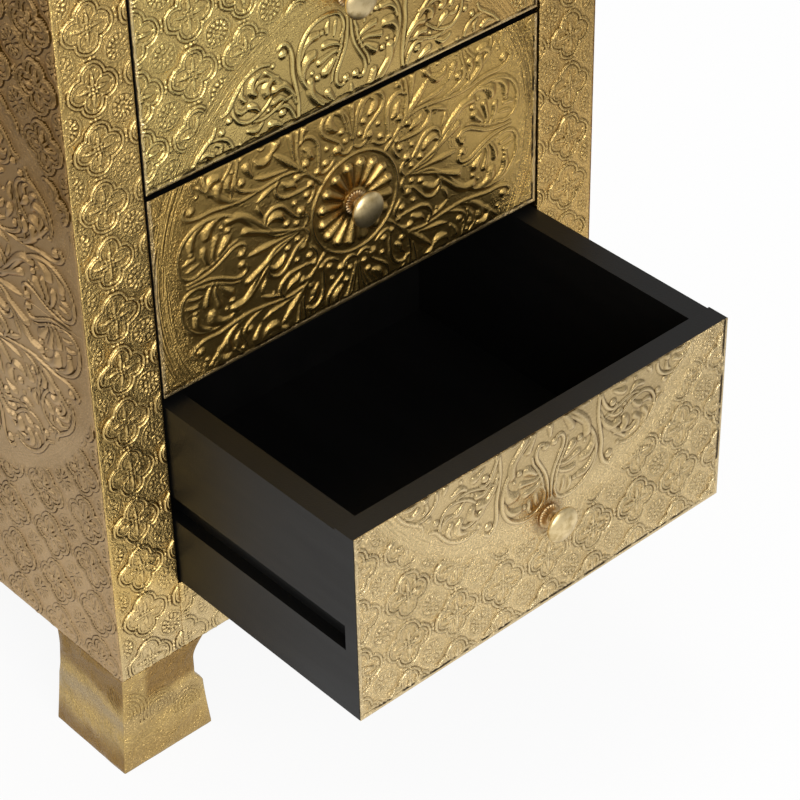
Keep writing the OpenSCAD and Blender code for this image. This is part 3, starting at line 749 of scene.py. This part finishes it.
def brass(name, light, rough=0.3, grain=1.0, crease_patina_and_shade=0.45, comb=None, foot=False, fades=(),
          tarnish=None, hem=None, rub_and_highlight=0.35):
    """Satin brass: ridges bright, part rubbing and part a painted highlight, creases brown, part patina
    and part painted shade, uneven tone, and pressed grain.

    The grain is a maze of fine furrows, deepest where a noise crosses its middle value.
    crease_patina_and_shade is how brown the hollows are, patina and painted shade together, and
    rub_and_highlight how bright the ridges are, rubbing and painted highlight together. comb gives the
    centre of a medallion, the strength of the arcs round it, and how much darker its inside is
    painted, a painted shade, where the grain keeps only CALM of its depth. fades gives more colours,
    each with its axis and where along it the colour is full and gone; they paint light and shade
    across the sheet. tarnish and hem hold what knob_tarnish and hem_edge ask for.
    """
    f = Finish(name)
    axes = f.axes()
    crease = f.attribute("crease")
    cloud = f.between(f.noise(11, 4, 0.6), 0.35, 0.7)
    stipple = (f.noise(430, 2, 0.6) - 0.5).maths("ABSOLUTE") * 3 + f.noise(850, 2, 0.6) * 0.7
    # Hollows are painted brown, part patina and part painted shade of the creases; ridges are painted
    # brighter, part rubbing and part a painted highlight.
    hollow = f.between(crease * -1, 0.02, 0.3)
    rubbed_and_highlit = f.between(crease, 0.02, 0.25)
    stain, combed, rim = cloud * 0.18, 0.0, 0.0
    if comb:
        centre, strength, shade = comb
        beyond, arcs = combed_band(f, centre)
        combed = arcs * strength
        grain = (beyond * (1 - CALM) + CALM) * grain
        # The inside of a medallion is painted darker by shade: a painted shade.
        stain = stain + (1 - beyond) * shade - combed * 0.5
    tone = light
    # Each fade paints light and shade along one axis of the sheet.
    for axis, tint, full, gone in fades:
        tone = f.mix(f.between(axes[axis] + cloud * 0.04, gone, full), tone, tint)
    tone = f.mix((stain + hollow * crease_patina_and_shade + (0.56 - stipple) * 1.1 * grain).clip(), tone, BROWN)
    tone = f.mix(rubbed_and_highlit * rub_and_highlight, tone, tuple(np.minimum(np.array(light) * RUBBED_HIGHLIGHT, 1.0)))
    if hem:
        tone, rim = hem_edge(f, tone, cloud, *hem)
    if tarnish:
        tone = knob_tarnish(f, tone, cloud, *tarnish)
    if foot:
        tone = foot_bands(f, tone)
    roughness = (cloud * 0.08 + hollow * 0.12 - rubbed_and_highlit * 0.04 + rough + rim * 0.15).clip()
    height = (stipple + f.noise(230, 2, 0.5) * 0.8) * (1 - rubbed_and_highlit * 0.55) * grain + combed
    return f.surface(Base_Color=tone, Metallic=1.0, Roughness=roughness, Normal=f.bump(height, 0.0009))


# %% [markdown]
# The drawer fronts share one medallion, so each sheet takes its part of it from
# the same centre. A smooth hem is pressed along the right and lower edges. The
# open drawer stands in other light in the photograph, so its brass is paler.

# %% Drawer sheets
DRAWERS = ("lower", "middle", "upper")
DRAWER_STEP = (0.65, 0.65)
INSET, OVER = 0.35, 0.5
ROW_SHIFT = 60
HEM_W, HEM_BEYOND, HEM_GROOVE = 3.2, 3.4, 0.4
middle_low, middle_high = box_mm("middle_drawer_front")
medallion_z = (middle_low[2] + middle_high[2]) / 2


def drawer_sheet(name, rise, lattice_rise, rosette_rise, seed, finish):
    """Embossed face of one drawer, its medallion centred on the middle drawer, with a hem along two edges."""
    low, high = box_mm(f"{name}_drawer_front")
    face_y = low[1] - SHEET_T
    low, high = low + (INSET, 0, -OVER), high + (-INSET, 0, OVER)
    size = (high[0] - low[0], high[2] - low[2])
    middle = (size[0] / 2, medallion_z - low[2])
    row = middle[1] + (ROW_SHIFT if low[2] > medallion_z else -ROW_SHIFT)
    pressed = pattern(middle, rise, (middle[0], row), lattice_rise, rosette_rise=rosette_rise, seed=seed)

    def relief(u, v):
        inside = np.minimum(size[0] - u, v) - 0.25 * waves(u * 3, v * 3, seed)
        beyond = np.clip((inside - HEM_BEYOND) / 0.8, 0, 1)
        return pressed(u, v) * beyond - HEM_GROOVE * ridge(inside - HEM_W, 0.9)

    corner = np.array([low[0], face_y, low[2]])
    piece = add_piece(f"{name}_drawer_brass", *plate_arrays(corner, X, Z, -Y, size, DRAWER_STEP, relief))
    finished(piece, finish, f"{name}_drawer", f"{name}_drawer_sheet")


def face_centre(level):
    """Centre of the medallion on the face of a drawer, in metres."""
    low, _ = box_mm(f"{level}_drawer_front")
    return 0, (low[1] - SHEET_T) * MM, medallion_z * MM


def knob_foot(level):
    """Middle of the base of a drawer's knob, in metres."""
    low, high = box_mm(f"{level}_knob")
    return (low[0] + high[0]) / 2 * MM, high[1] * MM, (low[2] + high[2]) / 2 * MM


def hem_of(level, width, rubbed):
    """Left, right and lower edge of a drawer's sheet and the width of its hem, in metres, and its rubbing."""
    low, high = box_mm(f"{level}_drawer_sheet")
    return low[0] * MM, high[0] * MM, (low[2] - OVER) * MM, width * MM, rubbed


# The inside of its medallion is painted darker, a painted shade.
lower_finish = brass(
    "lower_brass", rgb(244, 216, 159), 0.25, 0.72, 0.62, (face_centre("lower"), 0.8, 0.3),
    tarnish=(knob_foot("lower"), 9, 14), hem=hem_of("lower", 2.7, 1.0)
)
middle_finish = brass(
    "middle_brass", DEEP, 0.26, 0.8, 0.7, (face_centre("middle"), 3.6, 0.0),
    tarnish=(knob_foot("middle"), 9, 36), hem=hem_of("middle", 3.0, 0.75)
)
# The upper sheet is painted darker towards the right and inside its medallion, a painted shade.
upper_finish = brass(
    "upper_brass", rgb(255, 222, 138), 0.2, 0.36, 0.8, (face_centre("middle"), 0.7, 0.12),
    fades=[(0, rgb(226, 184, 108), 0.13, -0.02)], tarnish=(knob_foot("upper"), 9, 14),
    hem=hem_of("upper", 2.4, 0.75)
)
drawer_sheet("lower", 1.1, 1.65, 0.0, 0.3, lower_finish)
drawer_sheet("middle", 1.1, 1.2, 0.9, 1.1, middle_finish)
drawer_sheet("upper", 1.2, 1.95, 0.0, 2.3, upper_finish)

# %% [markdown]
# The sides carry the same medallion, of which only the front part is in view, in
# brass painted browner and darker, a painted shade for the dimmer light on the sides, and paler
# near the floor, a painted reflection. Each side is made as two halves, one above the other, so
# that neither mesh grows too heavy, and the seam between them does not show.

# %% Side sheets
LEFT_STEP, RIGHT_STEP = (1.05, 0.8), (1.4, 1.4)
SIDE_PITCH, SIDE_ROW_SHIFT = (40.5, PITCH), 105


def side_name(side):
    """Name of a side from its sign along X."""
    return "left" if side < 0 else "right"


def side_sheet(side, step):
    """Sheet on one side of the body in two halves, pressed deeper towards the top."""
    name = side_name(side)
    low, high = box_mm(f"{name}_side_sheet")
    middle_y = (low[1] + high[1]) / 2
    out_x = low[0] if side < 0 else high[0]
    centre = (out_x * MM, middle_y * MM, medallion_z * MM)
    # The side brass is painted browner and darker than the front, a painted shade, and paler low down, a
    # painted reflection of the bright floor.
    material = brass(
        f"{name}_side_brass", SIDE, 0.35, 0.4, 1.5, (centre, 0.4, 0.0),
        fades=[(2, SIDE_LOW_REFLECTION, 0.22, 0.46)], rub_and_highlight=0.1
    )
    start_y = high[1] if side < 0 else low[1]
    middle = (abs(middle_y - start_y), medallion_z - low[2])
    row = middle[1] - SIDE_ROW_SHIFT
    pressed = pattern(middle, 1.75, (middle[0], row), 2.6, SIDE_PITCH, 1.0, seed=0.8 + side, bold=1.35)
    size = (high[1] - low[1], high[2] - low[2])

    def relief(u, v):
        return pressed(u, v) * (0.55 + 0.8 * v / size[1])

    corner = np.array([out_x, start_y, low[2]])
    for half, part in (("lower", (0.0, 0.5)), ("upper", (0.5, 1.0))):
        arrays = plate_arrays(corner, side * Y, Z, side * X, size, step, relief, part)
        piece = add_piece(f"{name}_side_brass_{half}", *arrays)
        finished(piece, material, "cabinet", f"{name}_side_sheet")


side_sheet(-1, LEFT_STEP)
side_sheet(1, RIGHT_STEP)

# %% [markdown]
# The front frame is clad in four strips of sheet. Each one has a pressed face, and
# is folded back round the edge of the drawer opening, where it stays plain.

# %% Stile and rail sheets
STILE_PITCH, STILE_COLUMN, ROW_Z = (PITCH, 37.2), 178, 453
LEFT_STILE_STEP, RIGHT_STILE_STEP, RAIL_STEP, FOLD_STEP = 0.53, 0.7, 0.75, (3, 6)
# The stile brass is painted darker towards the right, a painted shade, and paler near the floor, a painted
# reflection of the bright floor.
stile_finish = brass(
    "stile_brass", rgb(244, 207, 128), 0.2, 0.46, 0.8,
    fades=[(0, rgb(232, 192, 116), 0.13, 0.0), (2, PALE, 0.11, 0.17)]
)


def folded_back(u, v):
    """Relief of a plain strip: slow waves alone."""
    return 0.03 * waves(u, v, 3.0)


def stile_sheet(side, step):
    """Embossed face of a stile with a low bead along its outer edge, and the strip along the drawers."""
    name = side_name(side)
    low, high = box_mm(f"{name}_stile_sheet")
    size = (high[0] - low[0], high[2] - low[2])
    flower = (STILE_COLUMN * side - low[0], ROW_Z - low[2])
    pressed = pattern(None, lattice_at=flower, lattice_rise=1.8, pitch=STILE_PITCH, seed=1.5 + side)

    def relief(u, v):
        outer = u if side < 0 else size[0] - u
        bead = (0.22 + 0.2 * patches(u, v, 7, 9)) * ridge(outer - 1.3 - 0.4 * patches(u, v, 12, 4), 1.1)
        return pressed(u, v) * np.clip((outer - 2.4) / 1.2, 0, 1) + bead

    front = plate_arrays(low, X, Z, -Y, size, (step, step), relief)
    bottom_z = box_mm("bottom_rail_sheet")[1][2]
    top_z = box_mm("top_rail_sheet")[0][2]
    start = (high[0], low[1] + SHEET_T, bottom_z) if side < 0 else (low[0], high[1], bottom_z)
    depth = high[1] - low[1] - SHEET_T
    strip_size = (depth, top_z - bottom_z)
    strip = plate_arrays(np.array(start), -side * Y, Z, -side * X, strip_size, FOLD_STEP, folded_back)
    piece = add_piece(f"{name}_stile_brass", *joined(front, strip))
    finished(piece, stile_finish, "cabinet", f"{name}_stile_sheet")


def rail_sheet(name, way):
    """Embossed face of a rail, and the strip over its upper edge, way 1, or under its lower one, way -1."""
    low, high = box_mm(f"{name}_rail_sheet")
    size = (high[0] - low[0], high[2] - low[2])
    flower = (size[0] / 2, ROW_Z - low[2])
    relief = pattern(None, lattice_at=flower, lattice_rise=1.6, pitch=STILE_PITCH, seed=2.6)
    front = plate_arrays(low, X, Z, -Y, size, (RAIL_STEP, RAIL_STEP), relief)
    start = (low[0], low[1] + SHEET_T, high[2]) if way > 0 else (high[0], low[1] + SHEET_T, low[2])
    strip_size = (size[0], high[1] - low[1] - SHEET_T)
    strip = plate_arrays(np.array(start), way * X, Y, way * Z, strip_size, FOLD_STEP[::-1], folded_back)
    piece = add_piece(f"{name}_rail_brass", *joined(front, strip))
    finished(piece, stile_finish, "cabinet", f"{name}_rail_sheet")


stile_sheet(-1, LEFT_STILE_STEP)
stile_sheet(1, RIGHT_STILE_STEP)
rail_sheet("bottom", 1)
rail_sheet("top", -1)

# %% [markdown]
# A foot is a carved block wrapped in brass: it leans out towards the floor and is
# drawn in to a neck on its inner side. The sleeve is a ring of four faces, swept
# down along their profiles, with soft folds and a few pressed fans.

# %% Feet
FOOT_W, FOOT_D, FOOT_NECK, FOOT_COVE = 63.5, 67.0, 8.0, 0.8
FOOT_FLARE, FOOT_LEAN, FOOT_REAR_LEAN, FOOT_FOLD = 0.6, 5.2, 2.6, 0.8
FOOT_HALF, FOLD_STEPS, INNER_ROWS = 32, 3, 26
FRONT, OUTER = 1, 2
FOOT_FANS = [(FRONT, 50, 28, 15, False), (FRONT, 26, 38, 17, False), (FRONT, 0, 44, 21, False),
             (OUTER, 0, 60, 17, True)]
foot_finish = brass("foot_brass", rgb(221, 188, 120), 0.22, 0.6, 1.5, foot=True)


def foot_out(v, neck):
    """How far a face of a foot stands out at v, which runs from 0 at the body to 1 at the floor.

    It falls by neck along a quarter of a sine, comes back by 0.7 neck along half a cosine, and flares
    out below with a power of 1.3.
    """
    cove = -neck * np.sin(np.pi / 2 * np.clip(v / 0.2, 0, 1))
    shoulder = 0.7 * neck * (1 - np.cos(np.pi * np.clip((v - 0.36) / 0.14, 0, 1))) / 2
    flare = (FOOT_FLARE + 0.3 * neck) * np.clip((v - 0.5) / 0.47, 0, 1) ** 1.3
    return cove + shoulder + flare


def foot_ring(z, top_z, centre, turned, inset, raised, t, face, turn):
    """Sections of a foot at heights z: four straight faces and four folded corners, drawn in by inset.

    face numbers the faces: 0 inner, FRONT, OUTER, 3 rear. t runs from -1 to 1 along a face, and turn
    is the angle done in the fold after it. A face stands out by half the foot's size, foot_out and
    an even share of its lean. turned mirrors the front left foot onto its place.
    """
    v = np.clip((top_z - z) / top_z, 0, 1)
    inner = FOOT_W / 2 + foot_out(v, FOOT_NECK)
    front = FOOT_D / 2 + foot_out(v, FOOT_COVE)
    outer = FOOT_W / 2 + foot_out(v, FOOT_COVE) + FOOT_LEAN * v
    rear = FOOT_D / 2 + foot_out(v, FOOT_COVE) + FOOT_REAR_LEAN * v
    reach = np.stack([inner, front, outer, rear])[:, :, None] - FOOT_FOLD
    before, here, after = reach[face - 1, :, 0], reach[face, :, 0], reach[(face + 1) % 4, :, 0]
    side = np.where(t[:, None] < 0, before, after).T * t[None]
    angle = -face * np.pi / 2
    out = np.stack([np.cos(angle), np.sin(angle)], -1)
    along = np.stack([np.sin(angle), -np.cos(angle)], -1)
    fold_out = np.stack([np.cos(angle - turn), np.sin(angle - turn)], -1)
    fold_r = (FOOT_FOLD - inset + raised)[..., None]
    plan = here.T[..., None] * out + side[..., None] * along + fold_r * fold_out
    height = np.broadcast_to(z[:, None], plan.shape[:2])
    return np.stack([centre[0] + turned[0] * plan[..., 0], centre[1] + turned[1] * plan[..., 1], height], -1)


def foot_relief(z, top_z, t, face, seed):
    """Relief of a foot: slow folds, a faint lattice, and the fans of arcs in FOOT_FANS.

    A fan has a face, how far along it and how high its centre lies, its radius, and whether it opens
    downwards. Its height follows the cosine of the distance from that centre. The relief fades out
    towards the folded corners, under the body and at the floor. Also gives how far along the front
    or outer face each place lies from the corner between them.
    """
    v = z[:, None]
    s = (t * FOOT_HALF)[None] + 70 * face[None]
    folds = 0.6 * np.sin(v * 2 * np.pi / 25 + s * 0.06 + seed) * (face % 2 == 0)
    raised = 0.4 * waves(s * 2.2, v * 2.2, seed) + folds
    raised = raised + 0.5 * patches(s, v, 8, 3) + 0.3 * lattice(s + patches(s, v, 6, 1), v + 9, 35, 35) + 0.3
    across = (1 - t * np.where(face == FRONT, 1, -1))[None] * FOOT_HALF
    for on, start, height, reach, below in FOOT_FANS:
        r = np.hypot(across - start, v - height)
        half = (v < height + 1) if below else (v > height - 3)
        fan = np.clip((reach - r) / 2, 0, 1) * (face == on) * half
        raised = raised * (1 - 0.7 * fan) + fan * 0.55 * (0.5 + 0.5 * np.cos(r * 2 * np.pi / 2.7)) ** 2
    raised = np.maximum(raised, -0.3) * np.clip((1 - np.abs(t)) * 8, 0, 1)
    return raised * np.clip((top_z - z) / 4, 0, 1)[:, None] * np.clip(v / 3, 0.2, 1), across


def foot_sheet(name, columns, rows, seed):
    """Brass sleeve of a foot: a pressed outer skin and a plain inner one, closed above and below.

    Every foot is drawn as the front left one and mirrored to its place. A mirror in one axis alone
    would turn the faces inwards, so their corners are then counted the other way round.
    """
    low, high = box_mm(f"{name}_sheet")
    turned = np.array([1 if "left" in name else -1, 1 if "front" in name else -1])
    half = (FOOT_W / 2 + FOOT_FLARE, FOOT_D / 2 + FOOT_FLARE)
    centre = np.where(turned > 0, high[:2], low[:2]) - turned * half
    centre = centre - turned * (0, FOOT_REAR_LEAN)
    in_fold = np.arange(1, FOLD_STEPS + 1) / (FOLD_STEPS + 1) * np.pi / 2
    t = np.tile(np.concatenate([np.linspace(-1, 1, columns), np.ones(FOLD_STEPS)]), 4)
    turn = np.tile(np.concatenate([np.zeros(columns), in_fold]), 4)
    face = np.repeat(np.arange(4), columns + FOLD_STEPS)
    z, z_inner = np.linspace(high[2], low[2], rows), np.linspace(low[2], high[2], INNER_ROWS)
    raised, across = foot_relief(z, high[2], t, face, seed)
    flat = np.zeros((INNER_ROWS, len(t)))
    outer = foot_ring(z, high[2], centre, turned, 0, raised, t, face, turn)
    inner = foot_ring(z_inner, high[2], centre, turned, SHEET_T, flat, t, face, turn)
    points = np.vstack([outer.reshape(-1, 3), inner.reshape(-1, 3)])
    number = np.arange(len(t))
    after, last = (number + 1) % len(t), (rows + INNER_ROWS - 1) * len(t)
    closing = np.stack([last + number, last + after, after, number], -1)
    quads = np.vstack([grid_quads(rows + INNER_ROWS, len(t), 0, True), closing])
    if turned[0] * turned[1] < 0:
        quads = quads[:, ::-1]
    depth = np.broadcast_to((high[2] - z)[:, None] / high[2], raised.shape)
    # Near the outer corner of the front face the body's sheet runs over the foot, so the painted shadow under
    # the body is left out there.
    depth = np.maximum(depth, 0.38 * (face == FRONT) * np.clip((FOOT_HALF - across) / 18, 0, 1))
    # The band of painted reflection and the amber at the floor are weaker on the front face, where the light
    # falls differently.
    banded = np.broadcast_to(np.where(face == FRONT, 0.35, 1.0), raised.shape)
    attributes = {"crease": raised - blur(raised, 4), "depth": depth, "banded": banded}
    piece = add_piece(f"{name}_brass", points, quads, attributes=attributes)
    finished(piece, foot_finish, "cabinet", f"{name}_sheet")


foot_sheet("front_left_foot", 110, 130, 0.4)
foot_sheet("front_right_foot", 60, 60, 1.4)
foot_sheet("back_left_foot", 60, 60, 2.4)
foot_sheet("back_right_foot", 60, 60, 3.4)

# %% [markdown]
# The photograph cuts the top off, so it follows the style of the rest: one sheet
# drawn over a board, flat above, rounded at its edges, down the front and sides,
# and turned in below. Its outline is one path, repeated from level to level.

# %% Top sheet
TOP_ROUND, TOP_TURN_IN, TOP_LIP, TOP_STEP = 3.0, 6.0, 0.3, 1.4
BEND_STEPS, SKIRT_ROWS = 6, 15


def top_sheet():
    """Sheet over the top: a patch with rounded edges, skirts down three sides, and a turned-in edge.

    In from a rounded edge by r - r times the cosine of an angle, the patch lies r - r times its sine
    below the top. Its rim round the left, front and right is one path, which is repeated level by
    level down the skirt, and is then drawn in below and led back up inside.
    """
    low, high = box_mm("top_sheet")
    half, front, back, top = high[0], low[1], high[1], high[2]
    r, depth = TOP_ROUND, high[1] - low[1]
    bend = np.linspace(0, np.pi / 2, BEND_STEPS)[:-1]
    edge, drop = r - r * np.cos(bend), r - r * np.sin(bend)
    flat_x = np.linspace(-half + r, half - r, int(2 * (half - r) / TOP_STEP))
    flat_y = np.linspace(front + r, back, int((depth - r) / TOP_STEP))
    drop_x = np.concatenate([drop, 0 * flat_x, drop[::-1]])
    drop_y = np.concatenate([drop, 0 * flat_y])
    xs = np.concatenate([-half + edge, flat_x, half - edge[::-1]])
    x, y = np.meshgrid(xs, np.concatenate([front + edge, flat_y]))
    centre = (0, (front + back) / 2)
    pressed = pattern(centre, 0.8, centre, 0.8, rosette_rise=0.7, seed=0.9)
    inside = np.minimum.reduce([half - np.abs(x), y - front, back - y + 2])
    raised = pressed(x, y) * np.clip((inside - 4) / 3, 0, 1)
    patch = np.stack([x, y, top - np.maximum(drop_x[None], drop_y[:, None]) + raised], -1)
    rows, columns = x.shape
    number = np.arange(rows * columns).reshape(rows, columns)
    rim = np.concatenate([number[::-1, 0], number[0, 1:], number[1:, -1]])
    path = patch.reshape(-1, 3)[rim]
    n, count = len(path), rows * columns
    outward = np.zeros_like(path)
    outward[: rows - 1] = -X
    outward[rows : rows + columns - 2] = -Y
    outward[rows + columns - 1 :] = X

    def at_level(plan_x, plan_y, level):
        """A path at one height, as points."""
        return np.column_stack([plan_x, plan_y, np.full(n, level)])

    def drawn_in(inset, level):
        """The path drawn in by inset, at one height."""
        plan_y = back - (back - path[:, 1]) * (depth - inset) / depth
        return at_level(path[:, 0] * (half - inset) / half, plan_y, level)

    distance = np.concatenate([[0], np.cumsum(np.linalg.norm(np.diff(path, axis=0), axis=1))])
    corners = distance[[rows - 1, rows + columns - 2]]
    from_corner = np.minimum(np.abs(distance - corners[0]), np.abs(distance - corners[1]))
    levels = np.linspace(top - r, low[2] + TOP_LIP, SKIRT_ROWS)[1:]
    lift = 0.7 * lattice(distance[None], levels[:, None] - (low[2] + top) / 2)
    lift = lift * np.clip(from_corner / 3, 0, 1)[None] * np.clip((levels - low[2]) / 2, 0, 1)[:, None]
    skirt = np.stack([at_level(path[:, 0], path[:, 1], level) for level in levels])
    skirt = skirt + lift[..., None] * outward[None]
    turned = SHEET_T + TOP_TURN_IN
    steps = [(TOP_LIP, low[2]), (turned, low[2]), (turned, low[2] + SHEET_T), (SHEET_T, low[2] + SHEET_T),
             (SHEET_T, top - SHEET_T)]
    inner = [drawn_in(inset, level) for inset, level in steps]
    points = np.vstack([patch.reshape(-1, 3), skirt.reshape(-1, 3), *inner])
    bands = len(levels) + len(inner)
    strip = grid_quads(bands, n, count)[:, ::-1]
    first = np.stack([rim[1:], rim[:-1], count + np.arange(n - 1), count + np.arange(1, n)], -1)
    quads = np.vstack([grid_quads(rows, columns), first, strip])
    under = count + (bands - 1) * n + np.arange(n)
    left_end = count + np.arange(bands) * n
    behind = np.concatenate([number[-1], left_end + n - 1, left_end[::-1]])
    crease = np.concatenate([(raised - blur(raised, 3)).ravel(), (lift - blur(lift, 3)).ravel()])
    flats = [under[::-1], behind]
    piece = add_piece("top_brass", points, quads, flats, {"crease": crease}, (rows - 1) * (columns - 1))
    finished(piece, brass("top_brass", GOLD, grain=0.8), "cabinet", "top_sheet")


top_sheet()

# %% [markdown]
# The knobs are cast and turned: a beaded cup against the drawer, a neck with two
# rings, and a domed head. A turned shape is a profile carried round an axis, and
# the beads are a ripple in its radius.

# %% Knobs
ROUND_STEPS, PROFILE_STEPS, BEADS_ROUND, BEAD_LIFT = 88, 40, 22, 0.5
HEAD_HALF, NECK_R = 3.85, 2.7
CUP_S = np.array([0, 0, 0.5, 1.0, 1.4, 1.7, 2.0, 2.2])
CUP_R = np.array([7.2, 8.0, 8.0, 7.7, 6.9, 6.0, 5.0, 3.9])
CUP_BEADS = [0.3, 0.5, 0.55, 0.5, 0.3]


def polished_brass():
    """Pale polished brass with fine turning marks, and a little red tarnish near the drawer."""
    f = Finish("polished_brass")
    cloud = f.noise(160, 3, 0.6)
    tone = f.mix(f.between(cloud, 0.35, 0.75), rgb(244, 220, 168), rgb(192, 166, 112))
    tone = f.mix(f.attribute("root") * 0.28, tone, RED_TARNISH)
    normal = f.bump(cloud, 0.00012)
    return f.surface(Base_Color=tone, Metallic=1.0, Roughness=(cloud * 0.14 + 0.31), Normal=normal)


def knob_piece(level, finish):
    """Turned knob: a radius for each distance from the drawer, carried round the axis.

    The cup is a list of radii, the neck a cylinder with two ridges, and the head most of an ellipse.
    On the cup, radius and distance both ripple with the cosine of BEADS_ROUND times the angle.
    """
    low, high = box_mm(f"{level}_knob")
    centre, base_y, out = (low + high) / 2, high[1], high[1] - low[1]
    turn = np.linspace(0, 2 * np.pi, ROUND_STEPS, endpoint=False)
    a = np.linspace(-0.42 * np.pi, 0.485 * np.pi, PROFILE_STEPS)
    s = np.linspace(2.4, out - 2 * HEAD_HALF + 0.5, PROFILE_STEPS)
    neck = NECK_R + 1.3 * ridge(s - 3.7, 1.3) + 0.9 * ridge(s - 6.3, 1.0)
    radius = np.concatenate([CUP_R, neck, (high[0] - low[0]) / 2 * np.cos(a)])
    along = np.concatenate([CUP_S, s, out - HEAD_HALF + HEAD_HALF * np.sin(a)])
    beaded = np.zeros(len(radius))
    beaded[2:7] = CUP_BEADS
    ripple = np.cos(BEADS_ROUND * turn)[None]
    r = radius[:, None] + beaded[:, None] * ripple
    height = along[:, None] + BEAD_LIFT * beaded[:, None] * ripple
    points = np.stack([centre[0] + r * np.cos(turn), base_y - height, centre[2] + r * np.sin(turn)], -1)
    number = np.arange(r.size).reshape(r.shape)
    root = np.clip(1.4 - along / 5.5, 0, 1)[:, None] * np.ones(ROUND_STEPS)
    ends = [number[0][::-1], number[-1]]
    quads = grid_quads(*r.shape, around=True)
    piece = add_piece(f"{level}_knob_turned", points.reshape(-1, 3), quads, ends, {"root": root})
    finished(piece, finish, f"{level}_drawer", f"{level}_knob")


knob_finish = polished_brass()
for level in DRAWERS:
    knob_piece(level, knob_finish)

# %% [markdown]
# The boards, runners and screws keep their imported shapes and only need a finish.
# Each one is noise on the piece's own coordinates, stretched along the grain.

# %% Paint, wood and steel
def black_paint():
    """Thin black paint on wood: faint brush marks along the grain, and a satin sheen that varies."""
    f = Finish("black_paint")
    strokes = f.noise(60, 4, 0.6, stretch=(1, 0.12, 1))
    speck = f.noise(900, 2, 0.5)
    tone = f.mix(strokes, rgb(7, 7, 6), rgb(14, 13, 12))
    normal = f.bump(strokes * 0.6 + speck * 0.4, 0.0002)
    rough = strokes * 0.2 + 0.36
    return f.surface(Base_Color=tone, Roughness=rough, Normal=normal, Specular_IOR_Level=0.38)


def stained_wood():
    """Brown stained carcass wood: rings stretched along the board, and pores."""
    f = Finish("stained_wood")
    rings = f.noise(38, 5, 0.6, stretch=(1, 1, 0.09))
    pores = f.noise(520, 2, 0.5, stretch=(1, 1, 0.08))
    tone = f.mix(f.between(rings, 0.3, 0.7), rgb(74, 50, 34), rgb(122, 88, 60))
    return f.surface(Base_Color=tone, Roughness=(pores * 0.2 + 0.45), Normal=f.bump(pores, 0.0002))


def zinc_steel():
    """Dull zinc-plated steel of the screws."""
    f = Finish("zinc_steel")
    cloud = f.noise(300, 3, 0.6)
    tone = f.mix(cloud, rgb(150, 152, 156), rgb(188, 190, 192))
    return f.surface(Base_Color=tone, Metallic=1.0, Roughness=(cloud * 0.2 + 0.3))


finishes = {
    "black_wood": black_paint(),
    "carcass_wood": stained_wood(),
    "knob_brass": knob_finish,
    "screw_steel": zinc_steel(),
}
for node in nodes.values():
    for slot in node.material_slots:
        base = slot.material.name.split(".")[0] if slot.material else ""
        if base in finishes:
            slot.material = finishes[base]
print("finishes", len(finishes))
